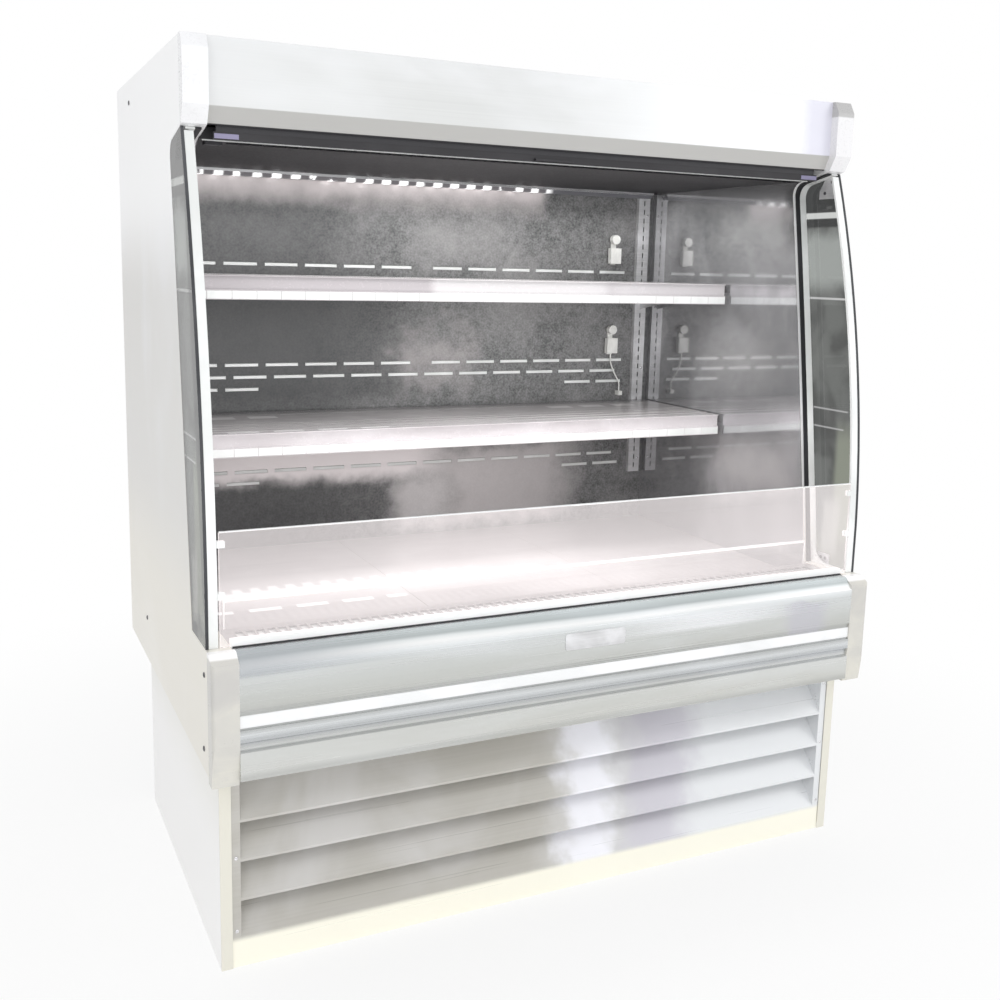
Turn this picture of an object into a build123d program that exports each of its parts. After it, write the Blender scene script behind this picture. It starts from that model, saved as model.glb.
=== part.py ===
from build123d import *
import os
from math import cos, radians, sin, tan

os.makedirs("parts", exist_ok=True)

# Open multideck display fridge. Millimetres, +Z up, the open front faces -Y,
# origin on the floor under the middle of the cabinet.

# ---- overall sizes
width = 1524.0
depth = 985.0
height = 1735.0
base_height = 408.0
bumper_height = 240.0
sheet = 1.5                 # bent steel sheet
glass = 6.0                 # tempered glass
fit_gap = 0.3               # gap left between pieces that seat on each other

# ---- insulated shell
panel_thickness = 46.0
back_thickness = 38.0
roof_thickness = 45.0
duct_space = 25.5           # air duct behind the slotted panel
tub_floor = 42.0
tub_wall = 40.0
edge_break = 1.5            # small chamfer on the outer skin

# ---- canopy
canopy_setback = 160.0      # from the bumper's front to the end caps' face
cap_depth = 34.0
cap_bevel_depth = 14.0
cap_bevel_height = 25.0
cap_face_height = 97.0
cap_chin_depth = 18.5
cap_chin_height = 32.0
cap_heel_rise = 4.0
fascia_recess = 22.0
fascia_top_flange = 60.0
fascia_chin_rise = 2.0      # its chin starts above the caps' chin
fascia_chin_depth = 14.0
fascia_chin_height = 32.0
fascia_lower_lip = 5.0
ceiling_drop = 173.0        # from the top of the cabinet to the ceiling

# ---- side panel edge, measured from the bumper's front and from the top
shoulder_setback = 305.5
shoulder_drop = 180.0
shoulder_radius = 30.0
edge_middle_setback = 234.5
foot_setback = 176.0

# ---- side wings
wing_foot_setback = 52.0
wing_knee_height = 112.0    # straight stretch above the bumper
wing_middle_setback = 84.5
wing_middle_drop = 38.0     # below halfway between the knee and the nose
wing_tuck = 1.5             # the glass ends this far ahead of the cap's back
wing_nose_gap = 1.0
wing_inset = 1.0            # from the cabinet's side to the glass
trim_width = 17.0
trim_depth = 6.0
trim_gap = 2.0
channel_inset = 9.5
gasket_width = 12.0
gasket_proud = 3.0
channel_width = 17.5
channel_proud = 4.0
channel_sweep = 45.0         # radius at the foot, where the channel turns forward
channel_run_gap = 1.0       # to the glass channel in front
channel_run_width = 8.0
bracket_length = 40.0
bracket_height = 24.0
bracket_width = 11.0
bracket_sheet = 2.0
hanger_setback = 5.0
hanger_length = 50.0
hanger_height = 55.0
hanger_corner = 20.0        # cut off the back upper corner
hanger_corner_height = 36.0

# ---- front riser, stop and decks
riser_height = 214.0
riser_side_gap = 4.0        # from the riser's end to the wing's edge trim
clip_grip = 10.0
clip_jaw = 3.0
clip_height = 12.0
clip_low = 96.3             # clip centres above the bumper
clip_high = 192.6
edge_polish = 0.8
riser_rim = 6.0
riser_leg_height = 14.0
riser_channel_base = 8.0
deck_drop = 37.0            # deck top below the bumper's top
stop_height = 105.7
stop_thickness = 5.0
stop_side_gap = 10.0
stop_setback = 165.3        # from the bumper's front to the stop's face
stop_channel_rim = 6.0
stop_channel_foot = 21.0
grille_pitch = 21.0
grille_slot = 15.0
grille_slot_length = 60.0
pan_count = 3
pan_gap = 1.0
pan_flange = 14.0
pan_shelf = 20.0            # ledge at the foot of the duct panel

# ---- bumper
bumper_depth = 37.5
bumper_end_width = 50.0
bumper_bevel_depth = 23.0
bumper_bevel_height = 25.0
bumper_flat = 81.0
groove_height = 10.0
groove_depth = 4.0
strip_height = 24.0
strip_seat = 8.0
strip_thickness = 5.0
strip_round = 1.5
shadow_line = 3.0
ridge_height = 23.0
crease_height = 20.0
crease_depth = 6.5
crease_slope = 4.0
end_lean = 11.0
end_lean_height = 72.0
end_drop = 10.0             # the end blocks hang this much below the fascia
end_bevel_height = 17.0
end_round = 8.0

# ---- shelves and back wall
slot_length = 85.0
slot_height = 9.0
slot_pitch = 103.6
slot_first = 73.0
slots_each_side = 6
slots_left_out = 4
full_rows = (198.0, 442.0, 473.0, 726.0)    # slot rows across the wall, above the deck
part_rows = (168.0, 411.0)                  # slot rows near the ends only
staggered_rows = (198.0, 442.0)             # rows moved by half a pitch
standard_side_gap = 13.0
standard_width = 37.0
standard_depth = 12.0
standard_height = 813.0
hook_pitch = 24.7
hook_slot_width = 4.0
hook_slot_height = 14.0
hook_first = 20.0
shelf_lower_hook = 7
shelf_upper_hook = 21
shelf_above_hook = 24.1
shelf_reach = 368.0
shelf_side_gap = 9.5
shelf_edge = 22.0
bracket_plate = 3.0
bracket_root = 78.0
bracket_tip = 18.0
bracket_setback = 26.0
hook_height = 10.0
rail_height = 52.0
rail_depth = 6.5
rail_sheet = 2.0
rail_band = 30.0
socket_side_gap = 126.0
socket_step = 9.0           # the plate is this much narrower on each side
socket_width = 34.0
socket_depth = 20.0
socket_body_height = 44.0
socket_plate_height = 76.0
socket_plate = 4.0
socket_round = 13.0
socket_round_above = 46.0
socket_upper_rise = 71.2    # above the upper shelf
socket_lower_rise = 160.0   # above the lower shelf
socket_plate_drop = 4.0
lead_diameter = 4.0
lead_drop = 111.0
lead_start = 26.0
lead_bend_drop = 58.0
lead_bend_side = 13.0
lead_bend_front = 3.0
lead_end_drop = 85.0
lead_side = 33.0
lead_clip = 12.0
led_side_gap = 22.5
led_lens_inset = 2.0
led_lens_taper = 3.0
led_lens_end = 4.0
led_width = 30.0
led_housing = 6.0
led_lens_drop = 9.0
led_wall_gap = 15.5

# ---- discharge, night curtain and switch
discharge_lap = 7.0         # its back edge lies behind the side panels' shoulder
discharge_depth = 66.0
discharge_height = 22.0
discharge_cell = 24.0
discharge_fin = 1.2
discharge_end = 60.0
curtain_setback = 24.5      # from the fascia's face to the curtain
curtain_thickness = 1.0
curtain_side_gap = 21.0
roller_radius = 15.0
roller_pin = 4.0
roller_pin_length = 20.0
roller_end_gap = 1.0
cassette_wall = 2.0
cassette_depth = 38.0
cassette_height = 46.0
cassette_lift = 5.0
cassette_slot = 8.0
bar_side_gap = 16.0
bar_thickness = 8.0
bar_height = 14.0
bar_drop = 11.0
handle_length = 90.0
handle_height = 12.0
handle_proud = 9.0
handle_sheet = 4.0
switch_length = 32.0
switch_width = 24.0
switch_drop = 7.0
switch_rim = 3.0
switch_pin = 1.5
switch_pin_rise = 3.0
switch_top_wall = 1.0
rocker_side_gap = 1.2
rocker_end_gap = 0.6
rocker_shoulder = 1.2
rocker_heel = 2.4
rocker_belly = 3.2
rocker_crown = 2.6
pin_clearance = 0.05

# ---- base
base_inset = 23.0
base_setback = 63.0
base_back_inset = 145.0
post_flange = 22.0
louvre_frame = 17.0
louvre_frame_setback = 2.5
louvre_pitch = 80.0
louvre_drop = 78.0
louvre_depth = 68.0
louvre_tip_height = 61.0
louvre_count = 4
louvre_lip = 5.0
rail_size = 40.0
rail_setback = 84.5         # from the base's front to the first rail
vent_pitch = 26.0
vent_width = 14.0
vent_height = 120.0
vent_count = 24
vent_centre = 250.0

# ---- machine space
tray_sheet = 2.0
condenser_gap = 5.0
condenser_x = -250.0
condenser_width = 480.0
condenser_height = 290.0
condenser_depth = 60.0
condenser_fin_pitch = 20.0
condenser_groove = 8.0
shroud_depth = 34.0
orifice_gap = 6.0
condenser_fan_radius = 122.0
condenser_hub_radius = 30.0
condenser_fan_depth = 28.0
motor_radius = 38.0
motor_length = 76.0
motor_gap = 4.0
shaft_radius = 4.0
strap_width = 40.0
strap_sheet = 3.0
compressor_x = 250.0
compressor_y = 60.0
compressor_radius = 95.0
blade_thickness = 2.0
blade_sink = 2.0            # how far a blade's root goes into the hub
compressor_height = 260.0
compressor_plate = 4.0
compressor_foot = 109.25     # half the foot plate's width
compressor_mount = 90.25    # from the middle to each mounting grommet
compressor_seam_rise = 143.0
compressor_port_rise = 91.0
compressor_seam = 4.0
compressor_seam_height = 10.0
compressor_dome = 42.0
grommet_height = 14.0
grommet_radius = 12.0
drain_side_gap = 119.0       # from the base's left face
drain_width = 360.0
drain_wall = 3.0
drain_depth = 190.0
drain_height = 50.0
box_side_gap = 64.0         # from the base's right face
box_width = 130.0
box_depth = 190.0
box_height = 220.0
box_lid = 2.0
box_lid_inset = 6.0
box_gap = 10.0
pipe_radius = 6.0
pipe_bend = 30.0
pipe_clearance = 60.0

# ---- evaporator
coil_half_width = 560.0
coil_setback = 102.5        # behind the fan plate
coil_depth = 250.0
coil_height = 120.0
coil_foot = 12.0
coil_groove = 8.0
coil_groove_pitch = 40.0
fan_plate_setback = 330.0
fan_x = 330.0
fan_radius = 55.0
fan_hub_radius = 20.0
fan_depth = 22.0
fan_orifice_gap = 5.0
fan_motor_radius = 30.0
fan_motor_length = 40.0
fan_arm = 6.0

# ---- places worked out from the sizes
half_width = width / 2
front = -depth / 2
back = depth / 2
inner_x = half_width - panel_thickness
liner_x = inner_x - sheet
bumper_top = base_height + bumper_height
bumper_back = front + bumper_depth
cap_face = front + canopy_setback
cap_back = cap_face + cap_depth
cap_foot = height - cap_bevel_height - cap_face_height - cap_chin_height
nose_z = cap_foot - cap_heel_rise
fascia_face = cap_face + fascia_recess
fascia_chin = height - cap_bevel_height - cap_face_height + fascia_chin_rise
fascia_foot = fascia_chin - fascia_chin_height
ceiling = height - ceiling_drop
wall = back - back_thickness - duct_space - sheet
deck = bumper_top - deck_drop
shoulder = (front + shoulder_setback, height - shoulder_drop)
edge_foot = (front + foot_setback, bumper_top)
edge_middle = (front + edge_middle_setback, (shoulder[1] + bumper_top) / 2)
wing_foot_y = front + wing_foot_setback
wing_knee_z = bumper_top + wing_knee_height
wing_top = (cap_back - wing_tuck, nose_z - wing_nose_gap)
wing_middle_z = (wing_top[1] + wing_knee_z) / 2 - wing_middle_drop
wing_middle = (front + wing_middle_setback, wing_middle_z)
wing_outer = half_width - wing_inset
wing_inner = wing_outer - glass
base_half = half_width - base_inset
base_front = front + base_setback
base_back = back - base_back_inset
rail_front = base_front + rail_setback
tray_top = rail_size + tray_sheet
floor_top = base_height + tub_floor
stop_face = front + stop_setback
stop_rear = stop_face + stop_thickness
channel_front = stop_face - stop_channel_rim - fit_gap
channel_back = stop_rear + stop_channel_rim + fit_gap
channel_foot = deck - stop_channel_foot
grille_top = bumper_top - sheet
riser_half = wing_inner - trim_width - riser_side_gap
stop_half = inner_x - stop_side_gap
standard_x = inner_x - standard_side_gap - standard_width / 2
shelf_half = liner_x - shelf_side_gap
socket_x = inner_x - socket_side_gap
led_half = liner_x - led_side_gap
curtain_half = inner_x - curtain_side_gap
bar_half = inner_x - bar_side_gap


def block(x_span, y_span, z_span, mode=Mode.ADD):
    """A box between the given limits, added to the part in hand."""
    middle = [(low + high) / 2 for low, high in (x_span, y_span, z_span)]
    size = [high - low for low, high in (x_span, y_span, z_span)]
    with Locations(tuple(middle)):
        Box(*size, mode=mode)


def prism_x(points, x_span, mode=Mode.ADD):
    """A profile of (y, z) points, drawn out between two x places."""
    with BuildSketch(Plane.YZ.offset(x_span[0])) as profile:
        with BuildLine():
            Polyline(*points, close=True)
        make_face()
    extrude(profile.sketch, amount=x_span[1] - x_span[0], mode=mode)


def prism_z(points, z_span, mode=Mode.ADD):
    """A plan of (x, y) points, drawn up between two heights."""
    with BuildSketch(Plane.XY.offset(z_span[0])) as profile:
        with BuildLine():
            Polyline(*points, close=True)
        make_face()
    extrude(profile.sketch, amount=z_span[1] - z_span[0], mode=mode)


def side_span(side, inner, outer):
    """The x limits of a piece on one side, from its inner and outer face."""
    return tuple(sorted((side * inner, side * outer)))


def panel_edge(proud):
    """The side panel's front edge, moved forward and down by a distance."""
    top, bend, middle, foot = [
        (y - proud, z - proud)
        for y, z in ((cap_back, nose_z), shoulder, edge_middle, edge_foot)
    ]
    Line(top, bend)
    ThreePointArc(bend, middle, foot)
    return top, bend, foot


def panel_outline():
    """The side panel's outline, drawn into the sketch in hand."""
    with BuildLine() as outline:
        panel_edge(0)
        Polyline(
            edge_foot,
            (bumper_back, bumper_top),
            (bumper_back, base_height),
            (back, base_height),
            (back, height),
            (cap_back, height),
            (cap_back, nose_z),
        )
    make_face(outline.edges())


def edge_strip(x_span, inner_proud, outer_proud):
    """A strip that follows the side panel's front edge."""
    with BuildSketch(Plane.YZ.offset(x_span[0])) as strip:
        with BuildLine():
            top_a, bend_a, foot_a = panel_edge(inner_proud)
            top_b, bend_b, foot_b = panel_edge(outer_proud)
            Line(top_a, top_b)
            Line(foot_a, foot_b)
        make_face()
        for bend in (bend_a, bend_b):
            fillet(strip.vertices().sort_by_distance(bend)[0], shoulder_radius)
        with Locations((front, bumper_top + fit_gap)):
            Rectangle(depth, height, align=(Align.MIN, Align.MIN), mode=Mode.INTERSECT)
    extrude(strip.sketch, amount=x_span[1] - x_span[0])


def foot_run(x_span, thickness, front_end, sweep):
    """A low strip along the ledge that meets an edge strip in a round corner."""
    heel = edge_foot[0] - fit_gap - thickness
    sill = bumper_top + fit_gap
    with BuildSketch(Plane.YZ.offset(x_span[0])) as run:
        with Locations((front_end, sill)):
            Rectangle(heel - front_end, thickness, align=(Align.MIN, Align.MIN))
        with BuildLine():
            centre = (heel - sweep, sill + thickness + sweep)
            start = (heel, centre[1])
            end = (centre[0], sill + thickness)
            Line(start, (heel, end[1]))
            Line((heel, end[1]), end)
            RadiusArc(end, start, -sweep)
        make_face()
        with Locations((heel, sill)):
            Rectangle(thickness, sweep, align=(Align.MIN, Align.MIN))
    extrude(run.sketch, amount=x_span[1] - x_span[0])


def route_radii(points):
    """The bend radius at each inner point of a lead's route."""
    places = [Vector(*point) for point in points]
    radii = []
    for before, here, after in zip(places, places[1:], places[2:]):
        shorter = min((here - before).length, (after - here).length)
        turn = radians((here - before).get_angle(after - here))
        radii.append(0.45 * shorter / tan(turn / 2))
    print("bend radii", [round(radius, 1) for radius in radii])
    return radii


def wing_front(setback):
    """The bowed front edge of a side wing, moved back by a distance."""
    top, middle, knee, foot = [
        (y + setback, z)
        for y, z in (
            wing_top,
            wing_middle,
            (wing_foot_y, wing_knee_z),
            (wing_foot_y, bumper_top - fit_gap),
        )
    ]
    ThreePointArc(top, middle, knee)
    Line(knee, foot)
    return top, foot


# ================================================================ side panels
for side, hand in ((-1, "left"), (1, "right")):
    with BuildPart() as end_panel:
        with BuildSketch(Plane.YZ.offset(side * inner_x)) as outline:
            panel_outline()
            fillet(outline.vertices().sort_by_distance(shoulder)[0], shoulder_radius)
        extrude(amount=side * panel_thickness)
        outer_face = end_panel.faces().sort_by(Axis.X)[0 if side < 0 else -1]
        chamfer(outer_face.edges(), edge_break)
    end_panel.part.label = f"end_panel_{hand}"
    export_step(end_panel.part, f"parts/end_panel_{hand}.step")

with BuildPart() as side_liners:
    for side in (-1, 1):
        with BuildSketch(Plane.YZ.offset(side * liner_x)) as liner:
            panel_outline()
            fillet(liner.vertices().sort_by_distance(shoulder)[0], shoulder_radius)
            with Locations((channel_back + fit_gap, channel_foot)):
                Rectangle(
                    wall - channel_back - 2 * fit_gap,
                    ceiling - channel_foot - fit_gap,
                    align=(Align.MIN, Align.MIN),
                    mode=Mode.INTERSECT,
                )
        extrude(amount=side * sheet)
side_liners.part.label = "side_liners"
export_step(side_liners.part, "parts/side_liners.step")

# ================================================================ side wings
with BuildPart() as wing_glasses:
    for side in (-1, 1):
        with BuildSketch(Plane.YZ.offset(side * wing_inner)) as pane:
            with BuildLine():
                top, foot = wing_front(0)
                edge_top, bend, edge_end = panel_edge(fit_gap)
                Line(top, edge_top)
                Line(foot, edge_end)
            make_face()
            fillet(pane.vertices().sort_by_distance(bend)[0], shoulder_radius)
            with Locations((front, bumper_top + fit_gap)):
                Rectangle(depth, height, align=(Align.MIN, Align.MIN), mode=Mode.INTERSECT)
        extrude(amount=side * glass)
wing_glasses.part.label = "wing_glasses"
export_step(wing_glasses.part, "parts/wing_glasses.step")

with BuildPart() as wing_edge_trims:
    for side in (-1, 1):
        with BuildSketch(Plane.YZ.offset(side * wing_inner)) as trim:
            with BuildLine():
                top_a, foot_a = wing_front(0)
                top_b, foot_b = wing_front(trim_depth)
                Line(top_a, top_b)
                Line(foot_a, foot_b)
            make_face()
            with Locations((front, bumper_top + fit_gap)):
                Rectangle(
                    depth,
                    nose_z - channel_proud - 2 * trim_gap - bumper_top,
                    align=(Align.MIN, Align.MIN),
                    mode=Mode.INTERSECT,
                )
        extrude(amount=-side * trim_width)
wing_edge_trims.part.label = "wing_edge_trims"
export_step(wing_edge_trims.part, "parts/wing_edge_trims.step")

channel_outer = half_width - channel_inset
channel_inner = channel_outer - channel_width
with BuildPart() as wing_gaskets:
    for side in (-1, 1):
        x_span = side_span(side, channel_inner - gasket_width, channel_inner)
        edge_strip(x_span, fit_gap, fit_gap + gasket_proud)
wing_gaskets.part.label = "wing_gaskets"
export_step(wing_gaskets.part, "parts/wing_gaskets.step")

channel_run_front = wing_foot_y + glass + riser_rim + channel_run_gap
with BuildPart() as wing_channels:
    for side in (-1, 1):
        edge_strip(side_span(side, channel_inner, channel_outer), fit_gap, fit_gap + channel_proud)
        run_span = side_span(side, channel_inner, channel_inner + channel_run_width)
        foot_run(run_span, channel_proud, channel_run_front, channel_sweep)
wing_channels.part.label = "wing_channels"
export_step(wing_channels.part, "parts/wing_channels.step")

bracket_back = edge_foot[0] - channel_proud - 2 * fit_gap
nose_slope = (shoulder[1] - nose_z) / (shoulder[0] - cap_back)
hanger_front = cap_back + hanger_setback
hanger_back = hanger_front + hanger_length
with BuildPart() as wing_brackets:
    for side in (-1, 1):
        upstand = side_span(side, wing_inner - bracket_sheet, wing_inner)
        y_span = (bracket_back - bracket_length, bracket_back)
        block(upstand, y_span, (bumper_top, bumper_top + bracket_height))
        base = side_span(side, wing_inner - bracket_width, wing_inner - bracket_sheet)
        block(base, y_span, (bumper_top, bumper_top + bracket_sheet))
        hanger_top = nose_z + nose_slope * hanger_setback - fit_gap
        prism_x(
            (
                (hanger_front, hanger_top),
                (hanger_front, hanger_top - hanger_height),
                (hanger_back, hanger_top - hanger_height),
                (hanger_back, hanger_top - hanger_corner_height),
                (
                    hanger_back - hanger_corner,
                    hanger_top + nose_slope * (hanger_length - hanger_corner),
                ),
            ),
            upstand,
        )
wing_brackets.part.label = "wing_brackets"
export_step(wing_brackets.part, "parts/wing_brackets.step")

# ================================================================ canopy
roof_top = height - sheet
roof_foot = roof_top - roof_thickness
with BuildPart() as roof_panel:
    roof_front = fascia_face + sheet
    block((-inner_x, inner_x), (roof_front, back), (roof_foot, roof_top))
roof_panel.part.label = "roof_panel"
export_step(roof_panel.part, "parts/roof_panel.step")

with BuildPart() as canopy_fascia:
    with BuildSketch(Plane.YZ.offset(-inner_x)):
        with BuildLine():
            skin = Polyline(
                (fascia_face + fascia_top_flange, height),
                (fascia_face, height),
                (fascia_face, fascia_chin),
                (fascia_face + fascia_chin_depth, fascia_foot),
                (fascia_face + fascia_chin_depth + fascia_lower_lip, fascia_foot),
            )
            offset(skin, amount=sheet, side=Side.LEFT, kind=Kind.INTERSECTION)
        make_face()
    extrude(amount=2 * inner_x)
canopy_fascia.part.label = "canopy_fascia"
export_step(canopy_fascia.part, "parts/canopy_fascia.step")

cap_profile = (
    (cap_back, height),
    (cap_face + cap_bevel_depth, height),
    (cap_face, height - cap_bevel_height),
    (cap_face, height - cap_bevel_height - cap_face_height),
    (cap_face + cap_chin_depth, cap_foot),
    (cap_back, nose_z),
)
with BuildPart() as canopy_caps:
    for side in (-1, 1):
        prism_x(cap_profile, side_span(side, inner_x, half_width))
canopy_caps.part.label = "canopy_caps"
export_step(canopy_caps.part, "parts/canopy_caps.step")

discharge_back = shoulder[0] + discharge_lap
discharge_front = discharge_back - discharge_depth
with BuildPart() as ceiling_panel:
    prism_x(
        (
            (discharge_back, ceiling),
            (wall + sheet, ceiling),
            (wall + sheet, ceiling + sheet),
            (discharge_back + sheet, ceiling + sheet),
            (discharge_back + sheet, ceiling + discharge_height),
            (discharge_back, ceiling + discharge_height),
        ),
        (-inner_x, inner_x),
    )
ceiling_panel.part.label = "ceiling_panel"
export_step(ceiling_panel.part, "parts/ceiling_panel.step")

cell_length = 2 * inner_x - discharge_end
cell_count = int(cell_length / discharge_cell)
cell_step = cell_length / cell_count
with BuildPart() as discharge_honeycomb:
    block(
        (-inner_x, inner_x),
        (discharge_front, discharge_back),
        (ceiling, ceiling + discharge_height),
    )
    with BuildSketch(Plane.XY.offset(ceiling)):
        for column in range(cell_count):
            left = -inner_x + discharge_end + column * cell_step
            for row in (0, 1):
                row_depth = (discharge_depth - discharge_fin) / 2
                low = discharge_front + discharge_fin + row * row_depth
                with Locations((left, low)):
                    Rectangle(
                        cell_step - discharge_fin,
                        row_depth - discharge_fin,
                        align=(Align.MIN, Align.MIN),
                    )
    extrude(amount=discharge_height, mode=Mode.SUBTRACT)
discharge_honeycomb.part.label = "discharge_honeycomb"
export_step(discharge_honeycomb.part, "parts/discharge_honeycomb.step")

led_back = wall - led_wall_gap
led_front = led_back - led_width
with BuildPart() as led_fixture:
    block((-led_half, led_half), (led_front, led_back), (ceiling - led_housing, ceiling))
led_fixture.part.label = "led_fixture"
export_step(led_fixture.part, "parts/led_fixture.step")

with BuildPart() as led_lens:
    led_foot = ceiling - led_housing
    prism_x(
        (
            (led_front + led_lens_inset, led_foot),
            (led_front + led_lens_inset + led_lens_taper, led_foot - led_lens_drop),
            (led_back - led_lens_inset - led_lens_taper, led_foot - led_lens_drop),
            (led_back - led_lens_inset, led_foot),
        ),
        (-led_half + led_lens_end, led_half - led_lens_end),
    )
led_lens.part.label = "led_lens"
export_step(led_lens.part, "parts/led_lens.step")

# ================================================================ back wall
with BuildPart() as back_panel:
    block((-inner_x, inner_x), (back - back_thickness, back), (base_height, roof_foot))
back_panel.part.label = "back_panel"
export_step(back_panel.part, "parts/back_panel.step")

pan_foot = deck - sheet
shelf_x = liner_x - fit_gap
with BuildPart() as duct_panel:
    block((-inner_x, inner_x), (wall, wall + sheet), (pan_foot - sheet, ceiling))
    block((-shelf_x, shelf_x), (wall - pan_shelf, wall), (pan_foot - sheet, pan_foot))
    with BuildSketch(Plane.XZ.offset(-wall - sheet)):
        for rise in full_rows + part_rows:
            first = slot_pitch / 2 if rise in staggered_rows else slot_first
            first_place = slots_left_out if rise in part_rows else 0
            for place in range(int(first_place), int(slots_each_side)):
                for side in (-1, 1):
                    with Locations((side * (first + place * slot_pitch), deck + rise)):
                        Rectangle(slot_length, slot_height)
    extrude(amount=sheet, mode=Mode.SUBTRACT)
duct_panel.part.label = "duct_panel"
export_step(duct_panel.part, "parts/duct_panel.step")

standard_foot = ceiling - standard_height
standard_top = ceiling - fit_gap
hook_zero = standard_foot + hook_first
hook_count = int((standard_top - hook_zero) / hook_pitch)
standard_face = wall - standard_depth
with BuildPart() as shelf_standards:
    for side in (-1, 1):
        low_x = side * standard_x - standard_width / 2
        high_x = low_x + standard_width
        prism_z(
            (
                (low_x, wall),
                (low_x, standard_face),
                (high_x, standard_face),
                (high_x, wall),
                (high_x - sheet, wall),
                (high_x - sheet, standard_face + sheet),
                (low_x + sheet, standard_face + sheet),
                (low_x + sheet, wall),
            ),
            (standard_foot, standard_top),
        )
        with BuildSketch(Plane.XZ.offset(-standard_face - sheet)):
            for hook in range(hook_count):
                with Locations((side * standard_x, hook_zero + hook * hook_pitch)):
                    Rectangle(hook_slot_width, hook_slot_height)
        extrude(amount=sheet, mode=Mode.SUBTRACT)
shelf_standards.part.label = "shelf_standards"
export_step(shelf_standards.part, "parts/shelf_standards.step")

# ================================================================ shelves
shelf_back = standard_face - sheet
shelf_front = shelf_back - shelf_reach
shelf_lower_z = hook_zero + shelf_lower_hook * hook_pitch + shelf_above_hook
shelf_upper_z = hook_zero + shelf_upper_hook * hook_pitch + shelf_above_hook
shelf_levels = (("lower", shelf_lower_z), ("upper", shelf_upper_z))
for level, top_z in shelf_levels:
    with BuildPart() as shelf:
        block(
            (-shelf_half, shelf_half),
            (shelf_front, shelf_back),
            (top_z - shelf_edge, top_z),
        )
        underside = shelf.faces().sort_by(Axis.Z)[0]
        offset(amount=-sheet, openings=underside)
    shelf.part.label = f"shelf_{level}"
    export_step(shelf.part, f"parts/shelf_{level}.step")

with BuildPart() as shelf_brackets:
    for level, top_z in shelf_levels:
        plate_top = top_z - sheet
        for side in (-1, 1):
            plate_left = side * standard_x - bracket_plate / 2
            plate = (plate_left, plate_left + bracket_plate)
            prism_x(
                (
                    (shelf_back - sheet, plate_top),
                    (shelf_front + bracket_setback, plate_top),
                    (shelf_front + bracket_setback, plate_top - bracket_tip),
                    (standard_face, plate_top - bracket_root),
                    (standard_face, plate_top - shelf_edge),
                    (shelf_back - sheet, plate_top - shelf_edge),
                ),
                plate,
            )
            for hook in (0, 2):
                hook_z = top_z - shelf_above_hook - hook * hook_pitch
                block(
                    plate,
                    (standard_face, standard_face + 3 * sheet),
                    (hook_z - hook_height / 2, hook_z + hook_height / 2),
                )
shelf_brackets.part.label = "shelf_brackets"
export_step(shelf_brackets.part, "parts/shelf_brackets.step")

rail_face = shelf_front - rail_depth
with BuildPart() as price_rails:
    for level, top_z in shelf_levels:
        prism_x(
            (
                (shelf_front, top_z),
                (rail_face, top_z),
                (rail_face, top_z - rail_sheet),
                (shelf_front - rail_sheet, top_z - rail_sheet),
                (shelf_front - rail_sheet, top_z - rail_band),
                (rail_face, top_z - rail_band),
                (rail_face, top_z - rail_height),
                (shelf_front, top_z - rail_height),
            ),
            (-shelf_half, shelf_half),
        )
price_rails.part.label = "price_rails"
export_step(price_rails.part, "parts/price_rails.step")

socket_upper_z = shelf_upper_z + socket_upper_rise
socket_lower_z = shelf_lower_z + socket_lower_rise
clip_x = socket_x + lead_side
with BuildPart() as lamp_sockets:
    for body_z in (socket_upper_z, socket_lower_z):
        body = (socket_x - socket_width / 2, socket_x + socket_width / 2)
        plate_foot = body_z - socket_body_height / 2 - socket_plate_drop
        plate = (body[0] + socket_step, body[1] - socket_step)
        block(plate, (wall - socket_plate, wall), (plate_foot, plate_foot + socket_plate_height))
        block(
            body,
            (wall - socket_depth, wall - socket_plate),
            (body_z - socket_body_height / 2, body_z + socket_body_height / 2),
        )
        with BuildSketch(Plane.XZ.offset(-wall + socket_plate)):
            with Locations((socket_x, body_z + socket_round_above)):
                Circle(socket_round)
        extrude(amount=socket_depth - socket_plate)
    clip_top = socket_lower_z - socket_body_height / 2 - lead_drop
    block(
        (clip_x - lead_clip / 2, clip_x + lead_clip / 2),
        (wall - socket_depth, wall),
        (clip_top - lead_clip, clip_top),
    )
lamp_sockets.part.label = "lamp_sockets"
export_step(lamp_sockets.part, "parts/lamp_sockets.step")

lead_y = wall - socket_depth / 2
lead_top = socket_lower_z - socket_body_height / 2
lead_points = (
    (socket_x, lead_y, lead_top),
    (socket_x, lead_y, lead_top - lead_start),
    (socket_x + lead_bend_side, lead_y - lead_bend_front, lead_top - lead_bend_drop),
    (clip_x, lead_y, lead_top - lead_end_drop),
    (clip_x, lead_y, lead_top - lead_drop),
)
with BuildPart() as socket_lead:
    with BuildLine() as lead_path:
        FilletPolyline(*lead_points, radius=route_radii(lead_points))
    with BuildSketch(Plane(origin=lead_path.line @ 0, z_dir=lead_path.line % 0)):
        Circle(lead_diameter / 2)
    sweep()
socket_lead.part.label = "socket_lead"
export_step(socket_lead.part, "parts/socket_lead.step")

# ================================================================ tub, decks, riser
tub_top = bumper_top - riser_channel_base
tub_back = back - back_thickness
with BuildPart() as insulated_tub:
    prism_x(
        (
            (bumper_back, base_height),
            (tub_back, base_height),
            (tub_back, floor_top),
            (bumper_back + tub_wall + tub_floor, floor_top),
            (bumper_back + tub_wall, floor_top + tub_floor),
            (bumper_back + tub_wall, tub_top),
            (bumper_back, tub_top),
        ),
        (-inner_x, inner_x),
    )
insulated_tub.part.label = "insulated_tub"
export_step(insulated_tub.part, "parts/insulated_tub.step")

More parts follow.
